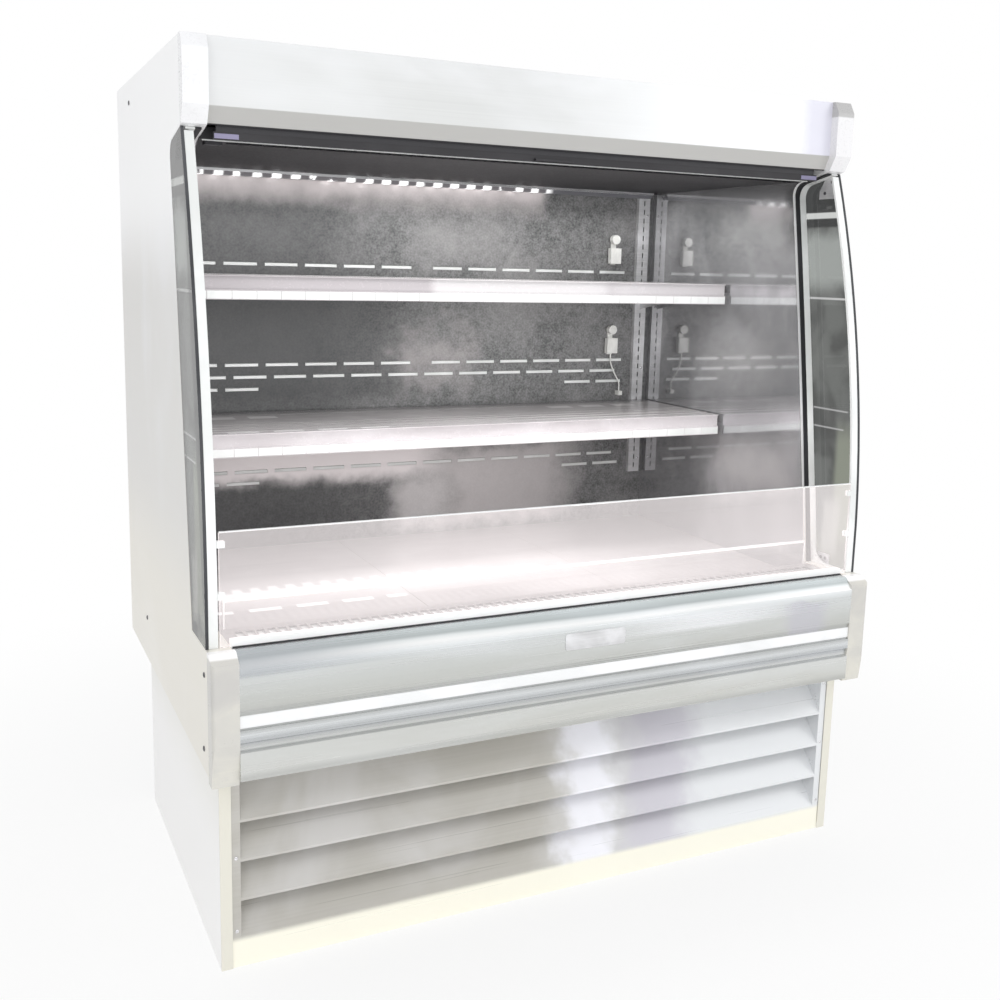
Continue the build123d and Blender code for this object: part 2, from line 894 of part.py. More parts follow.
with BuildPart() as stop_channel:
    prism_x(
        (
            (channel_front, channel_foot),
            (channel_back, channel_foot),
            (channel_back, pan_foot),
            (stop_rear + fit_gap, pan_foot),
            (stop_rear + fit_gap, channel_foot + stop_channel_rim),
            (stop_face - fit_gap, channel_foot + stop_channel_rim),
            (stop_face - fit_gap, grille_top - sheet),
            (channel_front, grille_top - sheet),
        ),
        (-inner_x, inner_x),
    )
stop_channel.part.label = "stop_channel"
export_step(stop_channel.part, "parts/stop_channel.step")

with BuildPart() as product_stop:
    stop_foot = channel_foot + stop_channel_rim + fit_gap
    stop_span = (stop_foot, stop_foot + stop_height)
    block((-stop_half, stop_half), (stop_face, stop_rear), stop_span)
    chamfer(product_stop.edges().group_by(Axis.Z)[-1], edge_polish)
product_stop.part.label = "product_stop"
export_step(product_stop.part, "parts/product_stop.step")

riser_y = wing_foot_y
riser_channel_front = riser_y - riser_rim
riser_channel_back = riser_y + glass + riser_rim
with BuildPart() as glass_channel:
    riser_seat = tub_top + riser_channel_base
    riser_leg = riser_seat + riser_leg_height
    prism_x(
        (
            (riser_channel_front, tub_top),
            (riser_channel_back, tub_top),
            (riser_channel_back, riser_leg),
            (riser_y + glass + fit_gap, riser_leg),
            (riser_y + glass + fit_gap, riser_seat),
            (riser_y - fit_gap, riser_seat),
            (riser_y - fit_gap, riser_leg),
            (riser_channel_front, riser_leg),
        ),
        (-inner_x, inner_x),
    )
glass_channel.part.label = "glass_channel"
export_step(glass_channel.part, "parts/glass_channel.step")

with BuildPart() as front_glass:
    block(
        (-riser_half, riser_half),
        (riser_y, riser_y + glass),
        (bumper_top + fit_gap, bumper_top + riser_height),
    )
    chamfer(front_glass.edges().group_by(Axis.Z)[-1], edge_polish)
front_glass.part.label = "front_glass"
export_step(front_glass.part, "parts/front_glass.step")

clip_outer = wing_inner - trim_width
clip_inner = riser_half - clip_grip
with BuildPart() as glass_clips:
    for side in (-1, 1):
        for above_bumper in (clip_low, clip_high):
            clip_z = bumper_top + above_bumper
            clip_span = (clip_z - clip_height / 2, clip_z + clip_height / 2)
            grip = side_span(side, clip_inner, clip_outer)
            block(grip, (riser_y - clip_jaw, riser_y + glass + clip_jaw), clip_span)
            pocket = side_span(side, clip_inner, riser_half + fit_gap)
            block(pocket, (riser_y - fit_gap, riser_y + glass + fit_gap), clip_span, Mode.SUBTRACT)
glass_clips.part.label = "glass_clips"
export_step(glass_clips.part, "parts/glass_clips.step")

grille_front = riser_channel_back + fit_gap
grille_back = stop_face - 2 * fit_gap
slot_total = int((2 * inner_x - 2 * grille_slot) / grille_pitch)
with BuildPart() as return_grille:
    prism_x(
        (
            (grille_front, tub_top),
            (grille_front + sheet, tub_top),
            (grille_front + sheet, grille_top - sheet),
            (grille_back, grille_top - sheet),
            (grille_back, grille_top),
            (grille_front, grille_top),
        ),
        (-inner_x, inner_x),
    )
    with BuildSketch(Plane.XY.offset(grille_top - sheet)):
        with Locations((0, (grille_front + sheet + channel_front) / 2)):
            with GridLocations(grille_pitch, grille_pitch, slot_total, 1):
                Rectangle(grille_slot, grille_slot_length)
    extrude(amount=sheet, mode=Mode.SUBTRACT)
return_grille.part.label = "return_grille"
export_step(return_grille.part, "parts/return_grille.step")

pan_front = channel_back - stop_channel_rim + fit_gap
pan_back = wall - fit_gap
pan_half = liner_x - fit_gap
pan_width = 2 * pan_half / pan_count
with BuildPart() as deck_pans:
    for number in range(pan_count):
        pan_left = -pan_half + number * pan_width + pan_gap / 2
        pan = (pan_left, pan_left + pan_width - pan_gap)
        block(pan, (pan_front, pan_back), (pan_foot, deck))
        block(pan, (channel_back + fit_gap, channel_back + fit_gap + sheet), (pan_foot - pan_flange, pan_foot))
        rear_lip = wall - pan_shelf - fit_gap
        block(pan, (rear_lip - sheet, rear_lip), (pan_foot - pan_flange, pan_foot))
deck_pans.part.label = "deck_pans"
export_step(deck_pans.part, "parts/deck_pans.step")

# ================================================================ bumper
fascia_half = half_width - bumper_end_width
flat_top = bumper_top - bumper_bevel_height
groove_top = flat_top - bumper_flat
strip_top = groove_top - groove_height
strip_foot = strip_top - strip_height
ridge_top = strip_foot - shadow_line
ridge_foot = ridge_top - ridge_height
crease_foot = ridge_foot - crease_height
with BuildPart() as bumper_fascia:
    prism_x(
        (
            (bumper_back, bumper_top),
            (front + bumper_bevel_depth, bumper_top),
            (front, flat_top),
            (front, groove_top),
            (front + groove_depth, groove_top),
            (front + groove_depth, strip_top),
            (front + strip_seat, strip_top),
            (front + strip_seat, strip_foot),
            (front + groove_depth, strip_foot),
            (front + groove_depth, ridge_top),
            (front, ridge_top),
            (front, ridge_foot),
            (front + crease_depth, ridge_foot - crease_slope),
            (front + crease_depth, crease_foot + crease_slope),
            (front, crease_foot),
            (front, base_height),
            (bumper_back, base_height),
        ),
        (-fascia_half, fascia_half),
    )
bumper_fascia.part.label = "bumper_fascia"
export_step(bumper_fascia.part, "parts/bumper_fascia.step")

with BuildPart() as bumper_strip:
    strip_face = front + strip_seat - strip_thickness
    block((-fascia_half, fascia_half), (strip_face, front + strip_seat), (strip_foot, strip_top))
    strip_edges = bumper_strip.edges().filter_by(Axis.X).group_by(Axis.Y)[0]
    fillet(strip_edges, strip_round)
bumper_strip.part.label = "bumper_strip"
export_step(bumper_strip.part, "parts/bumper_strip.step")

with BuildPart() as bumper_ends:
    for side in (-1, 1):
        prism_x(
            (
                (bumper_back, bumper_top),
                (front + bumper_bevel_depth, bumper_top),
                (front, bumper_top - end_bevel_height),
                (front, base_height + end_lean_height),
                (front + end_lean, base_height - end_drop),
                (bumper_back, base_height - end_drop),
            ),
            side_span(side, fascia_half, half_width),
        )
    upright_edges = bumper_ends.edges().filter_by(Axis.Z).group_by(Axis.Y)[0]
    outer_edges = upright_edges.group_by(lambda edge: round(abs(edge.center().X)))[-1]
    fillet(outer_edges, end_round)
bumper_ends.part.label = "bumper_ends"
export_step(bumper_ends.part, "parts/bumper_ends.step")

# ================================================================ base
side_face = base_half - sheet
for side, hand in ((-1, "left"), (1, "right")):
    with BuildPart() as base_side:
        prism_z(
            (
                (side * base_half, base_front),
                (side * base_half, base_back),
                (side * (base_half - post_flange), base_back),
                (side * (base_half - post_flange), base_back - sheet),
                (side * side_face, base_back - sheet),
                (side * side_face, base_front + sheet),
                (side * (base_half - post_flange), base_front + sheet),
                (side * (base_half - post_flange), base_front),
            ),
            (0, base_height),
        )
    base_side.part.label = f"base_side_{hand}"
    export_step(base_side.part, f"parts/base_side_{hand}.step")

rail_back = base_back - sheet
post_inner = side_face - rail_size
with BuildPart() as base_rails:
    for low_z in (0, base_height - rail_size):
        z_span = (low_z, low_z + rail_size)
        block((-post_inner, post_inner), (rail_front, rail_front + rail_size), z_span)
        block((-post_inner, post_inner), (rail_back - rail_size, rail_back), z_span)
        for side in (-1, 1):
            block(side_span(side, post_inner, side_face), (rail_front, rail_back), z_span)
    for side in (-1, 1):
        post_x = side_span(side, post_inner, side_face)
        post_z = (rail_size, base_height - rail_size)
        block(post_x, (rail_front, rail_front + rail_size), post_z)
        block(post_x, (rail_back - rail_size, rail_back), post_z)
base_rails.part.label = "base_rails"
export_step(base_rails.part, "parts/base_rails.step")

cheek_outer = base_half - post_flange
cheek_inner = cheek_outer - louvre_frame
louvre_face = base_front + louvre_frame_setback
louvre_root = louvre_face + louvre_depth
with BuildPart() as louvre_panel:
    for side in (-1, 1):
        prism_z(
            (
                (side * cheek_outer, louvre_face),
                (side * cheek_inner, louvre_face),
                (side * cheek_inner, rail_front),
                (side * cheek_outer, rail_front),
                (side * cheek_outer, rail_front - sheet),
                (side * (cheek_inner + sheet), rail_front - sheet),
                (side * (cheek_inner + sheet), louvre_face + sheet),
                (side * cheek_outer, louvre_face + sheet),
            ),
            (0, base_height),
        )
    for blade in range(louvre_count):
        tip_z = louvre_tip_height + blade * louvre_pitch
        prism_x(
            (
                (louvre_face, tip_z),
                (louvre_root, tip_z + louvre_drop),
                (louvre_root + sheet, tip_z + louvre_drop - sheet),
                (louvre_face + sheet, tip_z - sheet),
                (louvre_face + sheet, tip_z - louvre_lip),
                (louvre_face, tip_z - louvre_lip),
            ),
            (-cheek_inner, cheek_inner),
        )
    header_foot = louvre_tip_height + (louvre_count - 1) * louvre_pitch + louvre_drop - sheet
    block(
        (-cheek_inner, cheek_inner),
        (louvre_root, louvre_root + sheet),
        (header_foot, base_height),
    )
    block(
        (-cheek_inner, cheek_inner),
        (louvre_face, louvre_face + sheet),
        (0, louvre_tip_height - louvre_lip),
    )
louvre_panel.part.label = "louvre_panel"
export_step(louvre_panel.part, "parts/louvre_panel.step")

with BuildPart() as base_back_panel:
    back_half = base_half - post_flange - fit_gap
    block((-back_half, back_half), (base_back - sheet, base_back), (0, base_height))
    with BuildSketch(Plane.XZ.offset(-base_back)):
        with Locations((0, vent_centre)):
            with GridLocations(vent_pitch, vent_pitch, vent_count, 1):
                Rectangle(vent_width, vent_height)
    extrude(amount=sheet, mode=Mode.SUBTRACT)
base_back_panel.part.label = "base_back_panel"
export_step(base_back_panel.part, "parts/base_back_panel.step")

# ================================================================ machine space
with BuildPart() as machine_tray:
    block((-post_inner, post_inner), (rail_front, rail_back), (rail_size, tray_top))
machine_tray.part.label = "machine_tray"
export_step(machine_tray.part, "parts/machine_tray.step")

condenser_front = rail_front + condenser_gap
condenser_back = condenser_front + condenser_depth
condenser_span = (condenser_x - condenser_width / 2, condenser_x + condenser_width / 2)
condenser_top = tray_top + condenser_height
groove_count = int((condenser_width - 2 * condenser_fin_pitch) / condenser_fin_pitch)
with BuildPart() as condenser_coil:
    block(condenser_span, (condenser_front, condenser_back), (tray_top, condenser_top))
    with BuildSketch(Plane.XZ.offset(-condenser_front)):
        with Locations((condenser_x, tray_top + condenser_height / 2)):
            with GridLocations(condenser_fin_pitch, 1, groove_count, 1):
                Rectangle(condenser_groove, condenser_height - condenser_fin_pitch)
    extrude(amount=-condenser_groove, mode=Mode.SUBTRACT)
condenser_coil.part.label = "condenser_coil"
export_step(condenser_coil.part, "parts/condenser_coil.step")

fan_z = tray_top + condenser_height / 2
shroud_back = condenser_back + shroud_depth
with BuildPart() as condenser_shroud:
    block(condenser_span, (condenser_back, shroud_back), (tray_top, condenser_top))
    inlet = condenser_shroud.faces().sort_by(Axis.Y)[0]
    offset(amount=-sheet, openings=inlet)
    with BuildSketch(Plane.XZ.offset(-shroud_back)):
        with Locations((condenser_x, fan_z)):
            Circle(condenser_fan_radius + orifice_gap)
    extrude(amount=2 * sheet, both=True, mode=Mode.SUBTRACT)
condenser_shroud.part.label = "condenser_shroud"
export_step(condenser_shroud.part, "parts/condenser_shroud.step")


def fan_wheel(centre, hub_radius, tip_radius, hub_depth, blade_count):
    """An axial fan that turns about Y: a bored hub with pitched blades."""
    origin = Vector(*centre)
    with BuildPart() as wheel:
        with BuildSketch(Plane(origin=centre, x_dir=(1, 0, 0), z_dir=(0, 1, 0))):
            Circle(hub_radius)
            Circle(shaft_radius + pin_clearance, mode=Mode.SUBTRACT)
        extrude(amount=hub_depth / 2, both=True)
        for blade in range(blade_count):
            turn = radians(360 / blade_count * blade)
            radial = Vector(cos(turn), 0, sin(turn))
            around = Vector(-sin(turn), 0, cos(turn))
            for reach, chord, pitch in (
                (hub_radius - blade_sink, 0.75 * hub_depth, 50),
                (tip_radius, 1.15 * hub_depth, 28),
            ):
                lean = radians(pitch)
                run = around * cos(lean) + Vector(0, 1, 0) * sin(lean)
                with BuildSketch(Plane(origin=origin + radial * reach, x_dir=run, z_dir=radial)):
                    Rectangle(chord, blade_thickness)
            loft()
    return wheel


motor_front = shroud_back + condenser_fan_depth / 2 + motor_gap
fan_y = shroud_back
condenser_fan = fan_wheel(
    (condenser_x, fan_y, fan_z),
    condenser_hub_radius,
    condenser_fan_radius,
    condenser_fan_depth,
    5,
)
condenser_fan.part.label = "condenser_fan"
export_step(condenser_fan.part, "parts/condenser_fan.step")

with BuildPart() as condenser_fan_motor:
    with BuildSketch(Plane.XZ.offset(-motor_front)):
        with Locations((condenser_x, fan_z)):
            Circle(motor_radius)
    extrude(amount=-motor_length)
    with BuildSketch(Plane.XZ.offset(-motor_front)):
        with Locations((condenser_x, fan_z)):
            Circle(shaft_radius)
    extrude(amount=condenser_fan_depth + motor_gap)
    strap_y = motor_front + motor_length
    strap_x = (condenser_x - strap_width / 2, condenser_x + strap_width / 2)
    block(strap_x, (strap_y, strap_y + strap_sheet), (tray_top, fan_z + motor_radius))
    block(strap_x, (strap_y + strap_sheet, strap_y + strap_width), (tray_top, tray_top + strap_sheet))
condenser_fan_motor.part.label = "condenser_fan_motor"
export_step(condenser_fan_motor.part, "parts/condenser_fan_motor.step")

with BuildPart() as compressor:
    shell_foot = tray_top + grommet_height + compressor_plate
    block(
        (compressor_x - compressor_foot, compressor_x + compressor_foot),
        (compressor_y - compressor_foot, compressor_y + compressor_foot),
        (tray_top + grommet_height, shell_foot),
    )
    seam_z = shell_foot + compressor_seam_rise
    for ring_radius, ring_foot, ring_height in (
        (compressor_radius - compressor_seam, shell_foot, compressor_height),
        (compressor_radius, seam_z, compressor_seam_height),
    ):
        with BuildSketch(Plane.XY.offset(ring_foot)):
            with Locations((compressor_x, compressor_y)):
                Circle(ring_radius)
        extrude(amount=ring_height)
    fillet(compressor.edges().sort_by(Axis.Z)[-1], compressor_dome)
    with BuildSketch(Plane.XY.offset(tray_top)):
        with Locations((compressor_x, compressor_y)):
            with GridLocations(2 * compressor_mount, 2 * compressor_mount, 2, 2):
                Circle(grommet_radius)
    extrude(amount=grommet_height)
compressor.part.label = "compressor"
export_step(compressor.part, "parts/compressor.step")

with BuildPart() as drain_pan:
    drain_front = rail_back - rail_size - drain_depth
    drain_left = drain_side_gap - base_half
    block(
        (drain_left, drain_left + drain_width),
        (drain_front, drain_front + drain_depth),
        (tray_top, tray_top + drain_height),
    )
    brim = drain_pan.faces().sort_by(Axis.Z)[-1]
    offset(amount=-drain_wall, openings=brim)
drain_pan.part.label = "drain_pan"
export_step(drain_pan.part, "parts/drain_pan.step")

with BuildPart() as electrical_box:
    box_back = rail_back - rail_size - box_gap
    box_front = box_back - box_depth
    box_right = base_half - box_side_gap
    box_span = (box_right - box_width, box_right)
    block(box_span, (box_front, box_back), (tray_top, tray_top + box_height))
    lid_span = (box_span[0] + box_lid_inset, box_span[1] - box_lid_inset)
    lid_z = (tray_top + box_lid_inset, tray_top + box_height - box_lid_inset)
    block(lid_span, (box_front - box_lid, box_front), lid_z)
electrical_box.part.label = "electrical_box"
export_step(electrical_box.part, "parts/electrical_box.step")

# ================================================================ evaporator
plate_y = front + fan_plate_setback
coil_front = plate_y + coil_setback
coil_bottom = floor_top + coil_foot
coil_grooves = int((2 * coil_half_width - coil_groove_pitch) / coil_groove_pitch)
with BuildPart() as evaporator_coil:
    block(
        (-coil_half_width, coil_half_width),
        (coil_front, coil_front + coil_depth),
        (coil_bottom, coil_bottom + coil_height),
    )
    with BuildSketch(Plane.XY.offset(coil_bottom + coil_height)):
        with Locations((0, coil_front + coil_depth / 2)):
            with GridLocations(coil_groove_pitch, 1, coil_grooves, 1):
                Rectangle(coil_groove, coil_depth - coil_groove_pitch)
    extrude(amount=-coil_groove, mode=Mode.SUBTRACT)
    for side in (-1, 1):
        foot_x = side_span(side, coil_half_width - coil_groove_pitch, coil_half_width)
        block(foot_x, (coil_front, coil_front + coil_depth), (floor_top, coil_bottom))
evaporator_coil.part.label = "evaporator_coil"
export_step(evaporator_coil.part, "parts/evaporator_coil.step")

plate_top = pan_foot - fit_gap
fan_centre_z = (floor_top + plate_top) / 2
with BuildPart() as evaporator_fan_plate:
    block((-pan_half, pan_half), (plate_y, plate_y + sheet), (floor_top, plate_top - pan_flange))
    with BuildSketch(Plane.XZ.offset(-plate_y)):
        with Locations((-fan_x, fan_centre_z), (fan_x, fan_centre_z)):
            Circle(fan_radius + fan_orifice_gap)
    extrude(amount=-sheet, mode=Mode.SUBTRACT)
evaporator_fan_plate.part.label = "evaporator_fan_plate"
export_step(evaporator_fan_plate.part, "parts/evaporator_fan_plate.step")

for side, hand in ((-1, "left"), (1, "right")):
    evaporator_fan = fan_wheel(
        (side * fan_x, plate_y + sheet / 2, fan_centre_z),
        fan_hub_radius,
        fan_radius,
        fan_depth,
        5,
    )
    evaporator_fan.part.label = f"evaporator_fan_{hand}"
    export_step(evaporator_fan.part, f"parts/evaporator_fan_{hand}.step")

fan_motor_y = plate_y + sheet / 2 + fan_depth / 2 + motor_gap
arm_reach = fan_radius + fan_orifice_gap + 2 * fan_arm
with BuildPart() as evaporator_fan_motors:
    for side in (-1, 1):
        with BuildSketch(Plane.XZ.offset(-fan_motor_y)):
            with Locations((side * fan_x, fan_centre_z)):
                Circle(fan_motor_radius)
        extrude(amount=-fan_motor_length)
        with BuildSketch(Plane.XZ.offset(-fan_motor_y)):
            with Locations((side * fan_x, fan_centre_z)):
                Circle(shaft_radius)
        extrude(amount=fan_depth + motor_gap)
        for hand in (-1, 1):
            arm_x = side_span(hand, fan_motor_radius - fan_arm, arm_reach)
            arm = (side * fan_x + arm_x[0], side * fan_x + arm_x[1])
            arm_z = (fan_centre_z - fan_arm / 2, fan_centre_z + fan_arm / 2)
            block(arm, (fan_motor_y, fan_motor_y + fan_arm), arm_z)
            leg_x = side_span(hand, arm_reach - fan_arm, arm_reach)
            leg = (side * fan_x + leg_x[0], side * fan_x + leg_x[1])
            block(leg, (plate_y + sheet, fan_motor_y), arm_z)
evaporator_fan_motors.part.label = "evaporator_fan_motors"
export_step(evaporator_fan_motors.part, "parts/evaporator_fan_motors.step")

# ================================================================ refrigerant lines
port_z = shell_foot + compressor_port_rise
port_reach = compressor_radius - compressor_seam
header_y = (condenser_front + condenser_back) / 2
pipe_turn_x = condenser_span[1] + pipe_clearance
suction_route = (
    (compressor_x + port_reach, compressor_y, port_z),
    (compressor_x + port_reach + pipe_clearance, compressor_y, port_z),
    (compressor_x + port_reach + pipe_clearance, compressor_y, base_height),
)
discharge_route = (
    (compressor_x - port_reach, compressor_y, port_z),
    (pipe_turn_x, compressor_y, port_z),
    (pipe_turn_x, header_y, port_z),
    (condenser_span[1], header_y, port_z),
)
with BuildPart() as refrigerant_lines:
    for route in (suction_route, discharge_route):
        with BuildLine() as pipe_path:
            FilletPolyline(*route, radius=pipe_bend)
        with BuildSketch(Plane(origin=pipe_path.line @ 0, z_dir=pipe_path.line % 0)):
            Circle(pipe_radius)
        sweep(path=pipe_path.line)
refrigerant_lines.part.label = "refrigerant_lines"
export_step(refrigerant_lines.part, "parts/refrigerant_lines.step")

# ================================================================ night curtain
curtain_y = fascia_face + curtain_setback
roller_y = curtain_y + roller_radius
cassette_front = curtain_y - cassette_slot / 2
cassette_back = cassette_front + cassette_depth
cassette_foot = fascia_foot + cassette_lift
cassette_top = cassette_foot + cassette_height
roller_z = (cassette_foot + cassette_top) / 2
roller_half = inner_x - cassette_wall - roller_end_gap
with BuildPart() as curtain_cassette:
    block((-inner_x, inner_x), (cassette_front, cassette_back), (cassette_foot, cassette_top))
    inner_span = (-inner_x + cassette_wall, inner_x - cassette_wall)
    block(
        inner_span,
        (cassette_front + cassette_wall, cassette_back - cassette_wall),
        (cassette_foot + cassette_wall, cassette_top - cassette_wall),
        Mode.SUBTRACT,
    )
    block(
        (-bar_half, bar_half),
        (cassette_front + cassette_wall, cassette_front + cassette_wall + cassette_slot),
        (cassette_foot, cassette_foot + cassette_wall),
        Mode.SUBTRACT,
    )
    for side in (-1, 1):
        with BuildSketch(Plane.YZ.offset(side * (inner_x - cassette_wall))):
            with Locations((roller_y, roller_z)):
                Circle(roller_pin)
        extrude(amount=-side * roller_pin_length)
curtain_cassette.part.label = "curtain_cassette"
export_step(curtain_cassette.part, "parts/curtain_cassette.step")

with BuildPart() as curtain_roller:
    with BuildSketch(Plane.YZ.offset(-roller_half)):
        with Locations((roller_y, roller_z)):
            Circle(roller_radius - curtain_thickness)
            Circle(roller_pin + pin_clearance, mode=Mode.SUBTRACT)
    extrude(amount=2 * roller_half)
curtain_roller.part.label = "curtain_roller"
export_step(curtain_roller.part, "parts/curtain_roller.step")

bar_top = fascia_foot - bar_drop
with BuildPart() as curtain:
    block(
        (-curtain_half, curtain_half),
        (curtain_y - curtain_thickness / 2, curtain_y + curtain_thickness / 2),
        (bar_top, roller_z),
    )
curtain.part.label = "curtain"
export_step(curtain.part, "parts/curtain.step")

with BuildPart() as curtain_bar:
    bar_front = curtain_y - bar_thickness / 2
    block(
        (-bar_half, bar_half),
        (bar_front, bar_front + bar_thickness),
        (bar_top - bar_height, bar_top),
    )
    block(
        (-handle_length / 2, handle_length / 2),
        (bar_front - handle_proud, bar_front),
        (bar_top - handle_height, bar_top - handle_height + handle_sheet),
    )
curtain_bar.part.label = "curtain_bar"
export_step(curtain_bar.part, "parts/curtain_bar.step")

# ================================================================ light switch
switch_x = -inner_x + discharge_end / 2
switch_y = (discharge_front + discharge_back) / 2
switch_foot = ceiling - switch_drop
switch_front = switch_y - switch_width / 2 + switch_rim
switch_back = switch_y + switch_width / 2 - switch_rim
rocker_z = switch_foot + switch_pin_rise
with BuildPart() as switch_bezel:
    block(
        (switch_x - switch_length / 2, switch_x + switch_length / 2),
        (switch_y - switch_width / 2, switch_y + switch_width / 2),
        (switch_foot, ceiling),
    )
    block(
        (switch_x - switch_length / 2 + switch_rim, switch_x + switch_length / 2 - switch_rim),
        (switch_front, switch_back),
        (switch_foot, ceiling - switch_top_wall),
        Mode.SUBTRACT,
    )
    with BuildSketch(Plane.XZ.offset(-switch_front)):
        with Locations((switch_x, rocker_z)):
            Circle(switch_pin)
    extrude(amount=switch_front - switch_back)
switch_bezel.part.label = "switch_bezel"
export_step(switch_bezel.part, "parts/switch_bezel.step")

with BuildPart() as switch_rocker:
    rocker_half = switch_length / 2 - switch_rim - rocker_side_gap
    with BuildSketch(Plane.XZ.offset(-switch_front - rocker_end_gap)):
        with BuildLine():
            Polyline(
                (switch_x - rocker_half, rocker_z + rocker_shoulder),
                (switch_x - rocker_half, rocker_z - rocker_heel),
                (switch_x, rocker_z - rocker_belly),
                (switch_x + rocker_half, rocker_z - rocker_heel),
                (switch_x + rocker_half, rocker_z + rocker_shoulder),
                (switch_x, rocker_z + rocker_crown),
                close=True,
            )
        make_face()
        with Locations((switch_x, rocker_z)):
            Circle(switch_pin + pin_clearance, mode=Mode.SUBTRACT)
    extrude(amount=switch_front - switch_back + 2 * rocker_end_gap)
switch_rocker.part.label = "switch_rocker"
export_step(switch_rocker.part, "parts/switch_rocker.step")
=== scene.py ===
import math

import bmesh
import bpy
from mathutils import Matrix, Vector


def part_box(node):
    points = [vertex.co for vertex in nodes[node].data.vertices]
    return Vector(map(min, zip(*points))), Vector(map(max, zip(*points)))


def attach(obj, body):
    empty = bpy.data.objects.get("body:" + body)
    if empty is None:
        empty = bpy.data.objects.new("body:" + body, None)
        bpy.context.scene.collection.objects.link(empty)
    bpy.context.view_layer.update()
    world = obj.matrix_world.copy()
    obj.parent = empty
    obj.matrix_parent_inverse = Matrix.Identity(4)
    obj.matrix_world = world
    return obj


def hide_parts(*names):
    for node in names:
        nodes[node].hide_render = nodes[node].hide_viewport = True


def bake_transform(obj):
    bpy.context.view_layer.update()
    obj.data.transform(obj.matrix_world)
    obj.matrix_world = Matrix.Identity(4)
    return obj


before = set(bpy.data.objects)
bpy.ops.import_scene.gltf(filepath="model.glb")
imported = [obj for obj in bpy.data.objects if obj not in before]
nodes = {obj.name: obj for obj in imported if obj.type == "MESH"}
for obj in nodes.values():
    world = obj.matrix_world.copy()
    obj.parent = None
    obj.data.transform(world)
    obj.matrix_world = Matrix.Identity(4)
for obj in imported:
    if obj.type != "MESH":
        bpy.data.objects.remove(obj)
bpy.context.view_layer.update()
scene = bpy.context.scene
print("frame loaded:", len(nodes), "solids")


# camera, in metres and degrees, at the photograph's viewing angle
viewing = {
    "place": (-1.1507, -2.4274, 1.3371),
    "pitch": -9.33,
    "roll": -1.35,
    "turn": -25.65,
    "sensor": 36,
    "focal": 1.1346,  # in sensor widths
    "shiftX": 0.0077,
    "shiftY": -0.0442,
}


def addCamera():
    data = bpy.data.cameras.new("viewCamera")
    data.sensor_width = viewing["sensor"]
    data.lens = viewing["sensor"] * viewing["focal"]
    data.shift_x = viewing["shiftX"]
    data.shift_y = viewing["shiftY"]
    turned = (
        Matrix.Rotation(math.radians(viewing["turn"]), 3, "Z")
        @ Matrix.Rotation(math.radians(viewing["pitch"]), 3, "X")
        @ Matrix.Rotation(math.radians(viewing["roll"]), 3, "Y")
    )
    right, forward, up = (turned @ Vector(axis) for axis in ((1, 0, 0), (0, 1, 0), (0, 0, 1)))
    held = Matrix((right, up, -forward)).transposed().to_4x4()
    held.translation = Vector(viewing["place"])
    camera = bpy.data.objects.new("viewCamera", data)
    camera.matrix_world = held
    scene.collection.objects.link(camera)
    scene.camera = camera


addCamera()
scene.view_settings.view_transform = "Standard"
print("camera placed")


# small helpers for node trees
def tone(red, green, blue):
    # a colour as it looks on screen, 0 to 255, turned into light
    def step(value):
        value = value / 255
        return value / 12.92 if value <= 0.04045 else ((value + 0.055) / 1.055) ** 2.4

    return (step(red), step(green), step(blue), 1)


def feed(tree, made, links):
    for socket, value in links.items():
        if isinstance(value, bpy.types.NodeSocket):
            tree.links.new(value, made.inputs[socket])
        else:
            made.inputs[socket].default_value = value
    return made


def node(tree, kind, links=None, **values):
    made = tree.nodes.new("ShaderNode" + kind)
    for title, value in values.items():
        setattr(made, title, value)
    return feed(tree, made, links or {})


def place(tree, group, links):
    return feed(tree, node(tree, "Group", node_tree=group), links).outputs


def maths(tree, operation, first, second):
    return node(tree, "Math", {0: first, 1: second}, operation=operation).outputs[0]


def vectors(tree, operation, first, second):
    return node(tree, "VectorMath", {0: first, 1: second}, operation=operation).outputs[0]


def split(tree, vector):
    return node(tree, "SeparateXYZ", {0: vector}).outputs


def noise(tree, vector, scale, detail, **more):
    return node(tree, "TexNoise", {"Vector": vector, "Scale": scale, "Detail": detail, **more}).outputs


def mixColours(tree, share, first, second):
    return node(tree, "Mix", {0: share, 6: first, 7: second}, data_type="RGBA").outputs[2]


def mixValues(tree, first, second, share):
    return node(tree, "Mix", {0: share, 2: first, 3: second}, data_type="FLOAT").outputs[0]


# brings a value from one range to another, with soft ends
def ease(tree, value, low, high, start=0.0, end=1.0):
    links = {0: value, 1: low, 2: high, 3: start, 4: end}
    return node(tree, "MapRange", links, interpolation_type="SMOOTHSTEP").outputs[0]


# the same in a straight line, from 0 and 1 unless told otherwise
def stretch(tree, value, start, end, low=0.0, high=1.0):
    return node(tree, "MapRange", {0: value, 1: low, 2: high, 3: start, 4: end}).outputs[0]


def bump(tree, height, strength, distance=0.0004):
    links = {"Height": height, "Strength": strength, "Distance": distance}
    return node(tree, "Bump", links).outputs[0]


# a shader group with a Place input, its other inputs and its outputs; the rest is drawn by the caller
def newGroup(title, inputs, outputs):
    group = bpy.data.node_groups.new(title, "ShaderNodeTree")
    kinds = {tuple: "NodeSocketVector", float: "NodeSocketFloat"}
    for name, value in {"Place": (0, 0, 0), **inputs}.items():
        socket = group.interface.new_socket(name=name, in_out="INPUT", socket_type=kinds[type(value)])
        socket.default_value = value
    for name in outputs:
        group.interface.new_socket(name=name, in_out="OUTPUT", socket_type="NodeSocketFloat")
    return group, group.nodes.new("NodeGroupInput").outputs, group.nodes.new("NodeGroupOutput")


